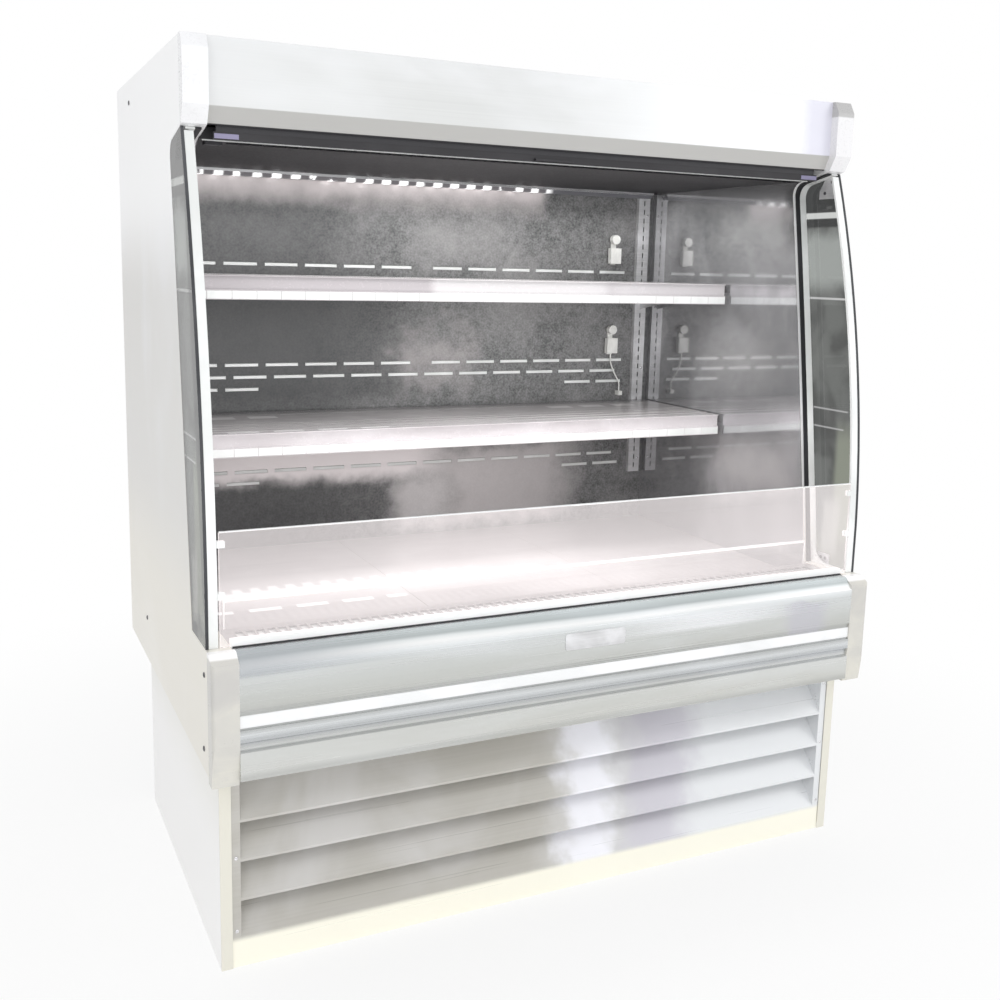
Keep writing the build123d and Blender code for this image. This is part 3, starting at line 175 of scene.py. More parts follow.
# long fine scratches of a brushed sheet; Stretch is how busy the grain is along each axis
def makeGrainGroup():
    group, given, out = newGroup("sheetGrain", {"Stretch": (3, 3, 700)}, ("Shade", "Height"))
    scaled = vectors(group, "MULTIPLY", given["Place"], given["Stretch"])
    fine = noise(group, scaled, scale=1.0, detail=3.0)[0]
    broad = noise(group, scaled, scale=0.13, detail=2.0)[0]
    both = mixValues(group, fine, broad, share=0.45)
    feed(group, out, {"Shade": stretch(group, both, 0.0, 1.0, low=0.32, high=0.68), "Height": fine})
    return group


# large soft patches, as stainless sheet shows where it was rolled and wiped
def makePatchGroup():
    group, given, out = newGroup("softPatches", {"Stretch": (3, 3, 3), "Low": 0.4, "High": 0.65}, ("Mask",))
    scaled = vectors(group, "MULTIPLY", given["Place"], given["Stretch"])
    cloud = noise(group, scaled, scale=1.0, detail=4.0, Roughness=0.55, Distortion=0.6)[0]
    feed(group, out, {"Mask": ease(group, cloud, given["Low"], given["High"])})
    return group


# grainy mottling of a dull sheet, in two grain sizes
def makeMottleGroup():
    group, given, out = newGroup("mottle", {"Fineness": 300.0}, ("Shade", "Height"))
    fine = noise(group, given["Place"], given["Fineness"], detail=2.0)[0]
    coarseness = maths(group, "MULTIPLY", given["Fineness"], 0.3)
    coarse = noise(group, given["Place"], coarseness, detail=1.0)[0]
    both = mixValues(group, fine, coarse, share=0.35)
    feed(group, out, {"Shade": stretch(group, both, 0.0, 1.0, low=0.3, high=0.7), "Height": both})
    return group


# dust that settles towards a low edge
def makeDustGroup():
    group, given, out = newGroup("settledDust", {"Foot": 0.0, "Reach": 0.12}, ("Mask",))
    rise = maths(group, "SUBTRACT", split(group, given["Place"])[2], given["Foot"])
    share = maths(group, "DIVIDE", rise, given["Reach"])
    cloud = noise(group, given["Place"], scale=22.0, detail=5.0)[0]
    feed(group, out, {"Mask": maths(group, "MULTIPLY", ease(group, share, 1.0, 0.0), cloud)})
    return group


# a soft-edged box in the object's own space, its edge a little uneven
def makeSoftBoxGroup():
    inputs = {"Low": (-9, -9, -9), "High": (9, 9, 9), "Soft": (0.02, 0.02, 0.02), "Wobble": 0.0}
    group, given, out = newGroup("softBox", inputs, ("Mask",))
    cloud = noise(group, given["Place"], scale=16.0, detail=3.0)[1]
    even = vectors(group, "SUBTRACT", cloud, (0.5, 0.5, 0.5))
    moved = node(group, "VectorMath", {0: even, "Scale": given["Wobble"]}, operation="SCALE").outputs[0]
    spot = vectors(group, "ADD", given["Place"], moved)
    fromLow = vectors(group, "DIVIDE", vectors(group, "SUBTRACT", spot, given["Low"]), given["Soft"])
    fromHigh = vectors(group, "DIVIDE", vectors(group, "SUBTRACT", given["High"], spot), given["Soft"])
    mask = 1.0
    for reach in split(group, vectors(group, "MINIMUM", fromLow, fromHigh)):
        mask = maths(group, "MULTIPLY", ease(group, reach, 0.0, 1.0), mask)
    feed(group, out, {"Mask": mask})
    return group


grain = makeGrainGroup()
patches = makePatchGroup()
mottle = makeMottleGroup()
dust = makeDustGroup()
softBox = makeSoftBoxGroup()


def startMaterial(title):
    material = bpy.data.materials.new(title)
    material.use_nodes = True
    tree = material.node_tree
    tree.nodes.clear()
    shader = node(tree, "BsdfPrincipled")
    output = node(tree, "OutputMaterial", {0: shader.outputs[0]})
    return material, tree, shader, output, node(tree, "TexCoord").outputs["Object"]


def addPatches(tree, where, scale, low, high):
    return place(tree, patches, {"Place": where, "Stretch": scale, "Low": low, "High": high})["Mask"]


# a soft patch of another colour, given by its limits along the axes that it names; the finishes below use
# these patches as painted light, painted shade and painted reflections
def area(shade, share, soft=0.02, x=(-9, 9), y=(-9, 9), z=(-9, 9), wobble=0.0):
    low, high = zip(x, y, z)
    edges = soft if isinstance(soft, tuple) else (soft, soft, soft)
    return {"Low": low, "High": high, "Soft": edges, "Wobble": wobble}, tone(*shade), share


def shadeAreas(tree, where, colour, areas):
    for limits, shade, share in areas:
        mask = place(tree, softBox, {"Place": where, **limits})["Mask"]
        colour = mixColours(tree, stretch(tree, mask, 0.0, share), colour, shade)
    return colour


# rows of painted glints, soft bright reflections along X, each row inside a soft box
def addPaintedGlints(tree, where, colour, rows):
    for (limits, shade, share), cells, low, high in rows:
        along = maths(tree, "MULTIPLY", split(tree, where)[0], cells)
        lit = ease(tree, maths(tree, "PINGPONG", along, 1.0), low, high, 0.0, share)
        mask = place(tree, softBox, {"Place": where, **limits})["Mask"]
        colour = mixColours(tree, maths(tree, "MULTIPLY", lit, mask), colour, shade)
    return colour


# painted bands of reflection and shade by height, as a pressed sheet mirrors a room; the bands sway a little
bandLook = {"patch": (1.3, 5, 5), "low": 0.2, "high": 0.8, "sway": 0.002, "share": 0.72}


def addBands(tree, where, colour, foot, head, stops):
    uneven = addPatches(tree, where, bandLook["patch"], bandLook["low"], bandLook["high"])
    sway = stretch(tree, uneven, -bandLook["sway"], bandLook["sway"])
    rise = maths(tree, "ADD", sway, split(tree, where)[2])
    ramp = node(tree, "ValToRGB", {0: stretch(tree, rise, 0.0, 1.0, foot, head)})
    points = ramp.color_ramp.elements
    for height, shade in stops[1:-1]:
        points.new((height - foot) / (head - foot)).color = tone(*shade)
    points[0].color, points[len(points) - 1].color = tone(*stops[0][1]), tone(*stops[-1][1])
    return mixColours(tree, bandLook["share"], colour, ramp.outputs[0])


# a brushed or satin sheet: a dark and a pale colour mixed by grain, then soft patches over both
def sheetMetal(title, look):
    material, tree, shader, _, where = startMaterial(title)
    grained = place(tree, grain, {"Place": where, "Stretch": look["grain"]})
    patched = addPatches(tree, where, look["patch"], look.get("low", 0.4), look.get("high", 0.68))
    colour = mixColours(tree, grained["Shade"], tone(*look["dark"]), tone(*look["pale"]))
    colour = mixColours(tree, patched, colour, tone(*look["cloud"]))
    if "dust" in look:
        foot, reach, shade = look["dust"]
        dusted = place(tree, dust, {"Place": where, "Foot": foot, "Reach": reach})
        colour = mixColours(tree, dusted["Mask"], colour, tone(*shade))
    if "bands" in look:
        colour = addBands(tree, where, colour, *look["bands"])
    colour = shadeAreas(tree, where, colour, look.get("areas", ()))
    feed(tree, shader, {
        "Base Color": addPaintedGlints(tree, where, colour, look.get("marks", ())),
        "Roughness": stretch(tree, grained["Shade"], *look["rough"]),
        "Normal": bump(tree, grained["Height"], look.get("bump", 0.02)),
        "Metallic": look.get("metal", 1.0),
        "Anisotropic": look.get("aniso", 0.3),
    })
    return material


# paint and moulded plastic: a faint mottled colour and a fine orange peel
def coating(title, look):
    material, tree, shader, _, where = startMaterial(title)
    mottled = place(tree, mottle, {"Place": where, "Fineness": look.get("fine", 260.0)})
    patched = addPatches(tree, where, look.get("patch", (4, 4, 4)), low=0.35, high=0.7)
    colour = mixColours(tree, patched, tone(*look["dark"]), tone(*look["pale"]))
    feed(tree, shader, {
        "Base Color": shadeAreas(tree, where, colour, look.get("areas", ())),
        "Roughness": stretch(tree, mottled["Shade"], *look["rough"]),
        "Normal": bump(tree, mottled["Height"], look.get("bump", 0.08)),
        "Metallic": look.get("metal", 0.0),
        "Coat Weight": look.get("coat", 0.0),
        "Coat Roughness": 0.12,
    })
    return material


# glass that lets lamps through, with faint wipe marks in its gloss; if given, painted reflections in its
# colour, as paler streaks and soft areas, and a glow that is a painted reflection
def clearPane(title, look):
    material, tree, shader, output, where = startMaterial(title)
    colour = tone(*look["tint"])
    if "streak" in look:
        streaks = addPatches(tree, where, look["streak"], low=0.38, high=0.62)
        colour = mixColours(tree, streaks, colour, tone(*look["streakTint"]))
        colour = shadeAreas(tree, where, colour, look["areas"])
    wiped = addPatches(tree, where, look["wipe"], low=0.35, high=0.75)
    feed(tree, shader, {
        "Base Color": colour,
        "Roughness": stretch(tree, wiped, *look["rough"]),
        "Transmission Weight": 1.0,
        "IOR": look["ior"],
        "Emission Color": tone(*look.get("reflectionGlow", (0, 0, 0))),
        "Emission Strength": 1.0 if "reflectionGlow" in look else 0.0,
    })
    clear = node(tree, "BsdfTransparent", {"Color": tone(*look["shade"])})
    shadow = node(tree, "LightPath").outputs["Is Shadow Ray"]
    both = node(tree, "MixShader", {0: shadow, 1: shader.outputs[0], 2: clear.outputs[0]})
    feed(tree, output, {0: both.outputs[0]})
    return material


# the finishes, with colours as they look on screen; grain and patch say how busy each is along the axes
looks = {
    "outerSkin": (sheetMetal, {
        "dark": (224, 222, 219), "pale": (228, 227, 224), "cloud": (236, 236, 237),
        "grain": (2.2, 2.2, 300), "patch": (1.1, 1.5, 0.8), "rough": (0.34, 0.46),
        "low": 0.42, "high": 0.62, "metal": 0.3,
        "areas": (
            # painted light: paler towards the top; painted shade: warmer and darker low down
            area((255, 255, 255), 0.95, (1, 0.3, 0.25), z=(1.25, 9)),
            area((242, 238, 227), 0.7, (1, 1, 0.3), z=(-9, 0.9)),
        ),
    }),
    "baseSkin": (sheetMetal, {
        "dark": (234, 232, 224), "pale": (240, 239, 232), "cloud": (246, 245, 241),
        "grain": (2.2, 2.2, 300), "patch": (1.6, 1.6, 1.6), "rough": (0.36, 0.5),
        "metal": 0.2, "dust": (0.0, 0.06, (232, 226, 206)),
        "areas": (
            # painted light: paler towards the floor; painted shade on the forward-facing post
            area((253, 252, 251), 0.95, (1, 1, 0.3), z=(-9, 0.5)),
            area((224, 221, 208), 0.9, (1, 0.002, 1), y=(-9, -0.4255)),
        ),
    }),
    "capPaint": (coating, {
        "dark": (232, 232, 233), "pale": (243, 243, 244), "rough": (0.24, 0.34), "coat": 0.1,
        "patch": (6, 6, 9), "areas": (
            # painted shade: the right cap greyer and its top bevel darker
            area((233, 232, 233), 0.95, 0.02, x=(0.5, 9)),
            area((184, 183, 182), 0.95, (0.02, 1, 0.004), x=(0.5, 9), z=(1.699, 9)),
        ),
    }),
    "fasciaSkin": (sheetMetal, {
        "dark": (206, 207, 206), "pale": (213, 214, 213), "cloud": (224, 225, 226),
        "grain": (1.5, 300, 300), "patch": (1.1, 1.1, 2.6), "rough": (0.3, 0.42), "metal": 0.15,
        "areas": (
            # painted light over the right part, painted shade near the right cap and on the chin, and the
            # darkest painted shade on the lip's underside
            area((242, 243, 244), 1.0, (0.6, 1, 1), x=(-0.15, 9)),
            area((214, 213, 226), 0.8, (0.05, 1, 0.05), x=(0.61, 9), wobble=0.05),
            area((186, 185, 182), 1.0, 0.003, z=(0, 1.6165)),
            area((44, 43, 46), 1.0, 0.001, z=(0, 1.5855)),
        ),
    }),
    "endPaint": (coating, {
        "dark": (202, 200, 194), "pale": (216, 213, 203), "rough": (0.26, 0.36), "coat": 0.2,
        "patch": (9, 9, 14), "areas": (
            # painted highlight along the top bevel, painted shade on the face below it
            area((250, 249, 248), 0.9, 0.004, z=(0.6375, 9)),
            area((186, 184, 182), 0.5, 0.03, z=(0.54, 0.64), wobble=0.03),
        ),
    }),
    "mirrorLiner": (sheetMetal, {
        "dark": (178, 178, 180), "pale": (196, 196, 198), "cloud": (222, 222, 224),
        "grain": (9, 9, 9), "patch": (5, 5, 2.6), "rough": (0.04, 0.1), "bump": 0.0,
        "low": 0.5, "high": 0.8, "aniso": 0.0, "metal": 0.75,
        "areas": (
            # painted reflections in the mirror, pale and dark
            area((226, 226, 226), 0.7, 0.12, y=(-0.30, 0.16), z=(1.33, 1.56), wobble=0.08),
            area((228, 226, 226), 0.5, 0.14, y=(-0.24, 0.2), z=(0.98, 1.26), wobble=0.1),
            area((228, 226, 226), 0.6, 0.10, y=(-0.30, 0.1), z=(0.74, 0.94), wobble=0.1),
            area((92, 92, 94), 0.85, 0.09, y=(-0.32, -0.14), z=(1.36, 1.60), wobble=0.08),
        ),
    }),
    "shelfPaint": (sheetMetal, {
        "dark": (196, 192, 192), "pale": (202, 198, 198), "cloud": (214, 210, 210),
        "grain": (1.5, 60, 60), "patch": (3, 3, 3), "rough": (0.2, 0.32), "bump": 0.0, "metal": 0.3,
        "aniso": 0.0,
        "areas": (
            # painted light on the lower shelf's top, painted shade towards the wall
            area((255, 248, 248), 0.95, (1, 0.16, 1), y=(-9, 0.34), z=(0, 1.1)),
            area((134, 132, 133), 0.8, (1, 0.06, 1), y=(0.33, 9)),
        ),
        "marks": (
            # painted reflections of the wall's slots
            (area((255, 252, 252), 0.9, (0.03, 0.004, 0.01), x=(-9, -0.2), y=(0.054, 0.074), z=(0, 1.1)),
             19.3, 0.3, 0.36),
            (area((255, 252, 252), 0.9, (0.02, 0.01, 0.01), x=(-9, -0.41), y=(0.28, 0.33), z=(0, 1.1)),
             19.3, 0.3, 0.36),
            (area((255, 252, 252), 0.8, (0.03, 0.01, 0.01), x=(0.31, 0.62), y=(0.28, 0.33), z=(0, 1.1)),
             19.3, 0.3, 0.36),
        ),
    }),
    "deckSteel": (sheetMetal, {
        "dark": (190, 185, 185), "pale": (198, 193, 193), "cloud": (206, 202, 202),
        "grain": (1.5, 40, 40), "patch": (3.5, 3.5, 3.5), "rough": (0.16, 0.28), "bump": 0.0, "metal": 0.2,
        "aniso": 0.0, "areas": (
            # painted shade at the front left and on the right; a painted band of light where the lamp's row
            # reflects
            area((152, 148, 148), 0.8, (0.3, 0.12, 1), x=(-9, 0.2), y=(-9, -0.04)),
            area((164, 160, 160), 0.7, (0.4, 1, 1), x=(0.2, 9)),
            area((255, 254, 254), 0.85, (0.1, 0.03, 1), x=(-9, 0.16), y=(-0.030, 0.035), wobble=0.02),
        ),
        "marks": (
            # rows of painted glints
            (area((255, 254, 254), 0.95, (0.02, 0.03, 1), x=(-9, 0.0), y=(-0.045, 0.065), wobble=0.012),
             48.6, 0.2, 0.8),
            (area((255, 254, 254), 0.9, (0.02, 0.006, 1), x=(-9, -0.24), y=(-0.128, -0.102)),
             19.3, 0.3, 0.36),
        ),
    }),
    "bumperSkin": (sheetMetal, {
        "dark": (190, 192, 189), "pale": (206, 208, 205), "cloud": (228, 231, 234),
        "grain": (0.8, 200, 200), "patch": (1.6, 9, 9), "rough": (0.22, 0.32), "bump": 0.0, "metal": 0.6,
        "bands": (0.398, 0.648, (
            (0.398, (190, 190, 183)), (0.413, (174, 174, 168)), (0.424, (200, 200, 194)),
            (0.460, (206, 207, 203)), (0.470, (188, 189, 188)), (0.476, (164, 167, 170)),
            (0.486, (180, 183, 186)), (0.494, (214, 217, 219)), (0.503, (176, 178, 178)),
            (0.535, (168, 169, 166)), (0.548, (190, 191, 186)), (0.575, (200, 202, 199)),
            (0.606, (206, 209, 209)), (0.617, (232, 236, 238)), (0.626, (254, 254, 254)),
            (0.632, (232, 236, 237)), (0.637, (164, 173, 174)), (0.648, (190, 199, 200)),
        )),
        "areas": (
            # painted reflection in lilac, painted shade on the left bevel, a painted highlight across the
            # face
            area((190, 188, 200), 0.5, (0.05, 1, 0.01), x=(0.50, 0.66), z=(0.53, 0.61), wobble=0.05),
            area((170, 174, 178), 0.7, (0.4, 1, 0.01), x=(-9, -0.3), z=(0.60, 0.66)),
            area((246, 247, 250), 0.5, (0.3, 1, 0.01), x=(0.0, 0.62), z=(0.575, 0.62)),
        ),
    }),
    "louvreSteel": (sheetMetal, {
        "dark": (180, 177, 169), "pale": (190, 187, 180), "cloud": (204, 202, 199),
        "grain": (1.6, 200, 200), "patch": (3, 3, 3), "rough": (0.26, 0.38), "metal": 0.15,
        "low": 0.42, "high": 0.7,
        "areas": (
            # painted light brighter to the right, painted reflections in lilac and white bands, and the kick
            # strip painted lit
            area((228, 230, 232), 0.95, (0.5, 1, 1), x=(-0.10, 9), wobble=0.06),
            area((200, 197, 206), 0.8, (0.09, 1, 0.3), x=(0.13, 0.38), wobble=0.12),
            area((246, 246, 252), 0.85, (0.07, 1, 0.3), x=(-0.02, 0.17), wobble=0.14),
            area((214, 212, 226), 0.6, (0.08, 1, 0.3), x=(-0.50, -0.28), z=(0.3, 9), wobble=0.1),
            area((250, 247, 232), 0.97, (1, 1, 0.014), z=(-1, 0.064)),
        ),
    }),
    "galvanised": (sheetMetal, {
        "dark": (140, 143, 146), "pale": (182, 184, 186), "cloud": (202, 204, 206),
        "grain": (26, 26, 26), "patch": (40, 40, 40), "rough": (0.32, 0.55), "bump": 0.05,
    }),
    "zincPlate": (sheetMetal, {
        "dark": (188, 188, 189), "pale": (214, 214, 215), "cloud": (232, 232, 234),
        "grain": (6, 6, 380), "patch": (9, 9, 9), "rough": (0.3, 0.44), "bump": 0.03, "metal": 0.4,
    }),
    "darkScrew": (sheetMetal, {
        "dark": (64, 64, 68), "pale": (96, 96, 100), "cloud": (128, 128, 132),
        "grain": (260, 260, 260), "patch": (300, 300, 300), "rough": (0.3, 0.5), "bump": 0.04,
    }),
    "brightScrew": (sheetMetal, {
        "dark": (196, 196, 198), "pale": (226, 226, 228), "cloud": (244, 244, 246),
        "grain": (260, 260, 260), "patch": (300, 300, 300), "rough": (0.16, 0.3), "bump": 0.03,
    }),
    "coilFins": (sheetMetal, {
        "dark": (150, 152, 154), "pale": (196, 198, 200), "cloud": (214, 216, 218),
        "grain": (900, 3, 3), "patch": (5, 5, 5), "rough": (0.3, 0.5), "bump": 0.3,
    }),
    "copperPipe": (sheetMetal, {
        "dark": (172, 102, 66), "pale": (212, 140, 98), "cloud": (150, 92, 66),
        "grain": (60, 60, 60), "patch": (18, 18, 18), "rough": (0.22, 0.4), "bump": 0.04,
    }),
    "curtainMetal": (sheetMetal, {
        "dark": (190, 190, 192), "pale": (222, 222, 224), "cloud": (238, 238, 240),
        "grain": (1.5, 480, 480), "patch": (4, 4, 4), "rough": (0.22, 0.36), "bump": 0.04,
    }),
    "motorCase": (coating, {
        "dark": (64, 65, 68), "pale": (86, 87, 90), "rough": (0.5, 0.7), "fine": 500.0, "bump": 0.3,
        "metal": 0.4,
    }),
    "whiteTrim": (coating, {
        "dark": (226, 228, 226), "pale": (244, 245, 244), "rough": (0.16, 0.26), "coat": 0.3,
        "patch": (9, 9, 5),
    }),
    "channelWhite": (coating, {
        "dark": (248, 248, 247), "pale": (254, 254, 254), "rough": (0.3, 0.4), "patch": (9, 9, 5),
    }),
    "whiteStrip": (coating, {
        "dark": (232, 233, 233), "pale": (246, 246, 247), "rough": (0.3, 0.42), "patch": (5, 5, 5),
    }),
    "railLilac": (coating, {
        "dark": (196, 190, 192), "pale": (214, 209, 211), "rough": (0.2, 0.3), "coat": 0.2,
        "patch": (4, 4, 12), "areas": (
            # painted shade on the upper rail, with painted light along its middle and right part
            area((176, 170, 173), 0.85, 0.1, z=(1.1, 9)),
            area((212, 209, 210), 0.95, (0.03, 1, 0.1), x=(-0.14, 0.36), z=(1.1, 9), wobble=0.03),
            area((202, 198, 200), 0.9, (0.1, 1, 0.1), x=(0.3, 9), z=(1.1, 9)),
        ),
    }),
    "socketWhite": (coating, {
        "dark": (226, 226, 222), "pale": (244, 244, 240), "rough": (0.28, 0.4), "patch": (30, 30, 30),
    }),
    "gasketRubberAndShadow": (coating, {
        "dark": (30, 30, 33), "pale": (46, 46, 50), "rough": (0.5, 0.7), "fine": 900.0, "bump": 0.25,
    }),
    "darkCeiling": (coating, {
        "dark": (28, 27, 30), "pale": (42, 41, 44), "rough": (0.5, 0.66), "fine": 500.0, "bump": 0.12,
        # the lamp's painted glow on the ceiling next to it
        "areas": (area((224, 218, 218), 0.8, (0.03, 0.02, 1), x=(-9, 0.36), y=(0.372, 9), wobble=0.12),),
    }),
    "tubPlastic": (coating, {
        "dark": (206, 206, 206), "pale": (224, 224, 224), "rough": (0.36, 0.5), "bump": 0.1,
    }),
    "darkBar": (coating, {
        "dark": (40, 39, 42), "pale": (52, 51, 54), "rough": (0.44, 0.56), "fine": 700.0, "bump": 0.06,
        "metal": 0.2,
    }),
    "barClip": (coating, {
        "dark": (122, 117, 146), "pale": (146, 141, 170), "rough": (0.3, 0.4), "fine": 900.0,
    }),
    "framePaint": (coating, {
        "dark": (38, 38, 40), "pale": (54, 54, 56), "rough": (0.42, 0.56), "bump": 0.12,
    }),
    "compressorBlack": (coating, {
        "dark": (20, 20, 22), "pale": (34, 34, 36), "rough": (0.22, 0.34), "coat": 0.4,
    }),
    "fanBlade": (coating, {
        "dark": (34, 35, 37), "pale": (48, 49, 52), "rough": (0.36, 0.5), "bump": 0.06,
    }),
    "drainPlastic": (coating, {
        "dark": (40, 40, 42), "pale": (54, 54, 56), "rough": (0.4, 0.56), "bump": 0.1,
    }),
    "switchPlastic": (coating, {
        "dark": (40, 40, 44), "pale": (54, 53, 58), "rough": (0.4, 0.5), "fine": 900.0,
    }),
    "wingGlassPaintedReflection": (clearPane, {
        # the dark tint and its paler streaks stand in for the dark interior mirrored in the wings; the areas
        # are painted reflections
        "tint": (88, 89, 88), "streakTint": (116, 118, 116), "streak": (3, 9, 6),
        "shade": (200, 203, 201), "wipe": (3, 3, 2), "rough": (0.0, 0.03), "ior": 1.25,
        "areas": (
            area((164, 168, 165), 0.9, 0.05, z=(1.29, 1.46), wobble=0.05),
            area((66, 67, 67), 0.9, 0.006, z=(1.452, 1.7)),
            area((214, 216, 214), 0.9, 0.003, z=(1.474, 1.491)),
            area((146, 150, 138), 0.9, (1, 0.02, 0.08), y=(-9, -0.348), z=(0.5, 1.02)),
            area((128, 130, 122), 0.9, 0.05, z=(0.5, 0.73), wobble=0.04),
            area((168, 168, 164), 0.8, (1, 0.014, 0.05), y=(-0.386, -0.318), z=(0.65, 0.83), wobble=0.02),
            area((206, 206, 206), 0.8, 0.002, z=(1.283, 1.290)),
            area((190, 190, 190), 0.7, 0.002, y=(-0.39, 0), z=(1.020, 1.026)),
            area((190, 190, 190), 0.7, 0.002, y=(-0.38, 0), z=(0.976, 0.982)),
        ),
    }),
    "riserGlass": (clearPane, {
        "tint": (240, 238, 238), "shade": (250, 249, 249), "wipe": (3, 3, 3), "rough": (0.0, 0.002),
        # painted reflection: a faint glow stands in for the bright surroundings mirrored in the riser
        "reflectionGlow": (128, 124, 124),
        "ior": 1.6,
    }),
    "stopAcrylic": (clearPane, {
        "tint": (250, 249, 249), "shade": (250, 249, 249), "wipe": (5, 5, 5), "rough": (0.0, 0.002),
        "ior": 1.49,
    }),
}
finishes = {title: make(title, look) for title, (make, look) in looks.items()}


# the dull grey wall: mottled sheet with paler clouds, brighter under the lamp
def makeWallSteel(title, look):
    material, tree, shader, _, where = startMaterial(title)
    mottled = place(tree, mottle, {"Place": where, "Fineness": look["fine"]})
    clouds = addPatches(tree, where, look["patch"], look["low"], look["high"])
    colour = mixColours(tree, mottled["Shade"], tone(*look["dark"]), tone(*look["pale"]))
    colour = mixColours(tree, stretch(tree, clouds, 0.0, look["cloudShare"]), colour, tone(*look["cloud"]))
    feed(tree, shader, {
        "Base Color": shadeAreas(tree, where, colour, look["areas"]),
        "Roughness": stretch(tree, mottled["Shade"], *look["rough"]),
        "Normal": bump(tree, mottled["Height"], look["bump"], distance=0.0005),
        "Metallic": look["metal"],
    })
    return material


finishes["wallSteel"] = makeWallSteel("wallSteel", {
    "dark": (84, 85, 85), "pale": (152, 152, 152), "cloud": (176, 174, 174), "cloudShare": 0.4,
    "fine": 190.0, "patch": (5, 5, 5), "low": 0.42, "high": 0.75, "rough": (0.3, 0.46), "bump": 0.05,
    "metal": 0.35,
    "areas": (
        # painted shade to the left, under the upper shelf and low on the left; painted light in pale clouds
        # where the lamps fall, and the lamp's painted glow below the lens
        area((70, 71, 72), 0.62, (0.35, 1, 0.3), x=(-9, 0.0), wobble=0.1),
        area((60, 61, 62), 0.5, (0.25, 1, 0.05), x=(-9, 0.1), z=(0.97, 1.30), wobble=0.05),
        area((172, 170, 170), 0.45, (0.14, 1, 0.1), x=(-0.10, 0.32), z=(1.30, 1.52), wobble=0.16),
        area((186, 180, 180), 0.5, (0.12, 1, 0.12), x=(-0.12, 0.2), z=(0.97, 1.22), wobble=0.2),
        area((236, 228, 228), 0.9, (0.03, 1, 0.085), x=(-9, 0.38), z=(1.468, 1.7), wobble=0.05),
        area((240, 234, 234), 0.95, (0.2, 1, 0.05), x=(-9, 0.16), z=(0.752, 0.94), wobble=0.06),
        area((80, 80, 81), 0.4, (0.2, 1, 0.05), x=(-9, 0.10), z=(0.630, 0.79), wobble=0.06),
        area((216, 211, 211), 0.75, (0.16, 1, 0.06), x=(0.0, 0.54), z=(0.60, 0.88), wobble=0.1),
        area((240, 236, 236), 0.6, (0.09, 1, 0.09), x=(-0.12, 0.12), z=(0.58, 0.82), wobble=0.08),
    ),
})


# the lamp's lens: a frosted strip with brighter cells, one for each diode
def makeLampLens(title, look):
    material, tree, shader, _, where = startMaterial(title)
    dim, bright, weak = (tone(*look[name]) for name in ("dim", "bright", "weak"))
    along = split(tree, where)[0]
    saw = maths(tree, "PINGPONG", maths(tree, "MULTIPLY", along, look["cells"]), 1.0)
    glow = mixColours(tree, ease(tree, saw, low=0.35, high=0.75), dim, bright)
    glow = mixColours(tree, addPatches(tree, where, look["patch"], low=0.42, high=0.56), dim, glow)
    glow = mixColours(tree, stretch(tree, along, 0.0, 1.0, *look["end"]), glow, weak)
    feed(tree, shader, {
        "Base Color": glow,
        "Emission Color": glow,
        "Emission Strength": look["strength"],
        "Roughness": 0.35,
    })
    return material


finishes["lampLens"] = makeLampLens("lampLens", {
    "dim": (66, 64, 66), "bright": (255, 255, 255), "weak": (52, 52, 55), "end": (0.33, 0.37),
    "cells": 42.0, "patch": (14, 14, 14), "strength": 1.7,
})


# woven curtain with a silvered thread: two crossed sets of ribs
def makeCurtainCloth(title, look):
    material, tree, shader, _, where = startMaterial(title)
    ribs = [
        maths(tree, "PINGPONG", maths(tree, "MULTIPLY", split(tree, where)[axis], look["threads"]), 1.0)
        for axis in (0, 2)
    ]
    weave = maths(tree, "MULTIPLY", *ribs)
    feed(tree, shader, {
        "Base Color": mixColours(tree, weave, tone(*look["dark"]), tone(*look["pale"])),
        "Roughness": stretch(tree, weave, *look["rough"]),
        "Normal": bump(tree, weave, strength=0.4, distance=0.0003),
        "Sheen Weight": 0.3,
    })
    return material


finishes["curtainCloth"] = makeCurtainCloth("curtainCloth", {
    "dark": (44, 43, 47), "pale": (70, 69, 74), "threads": 900.0, "rough": (0.45, 0.7),
})

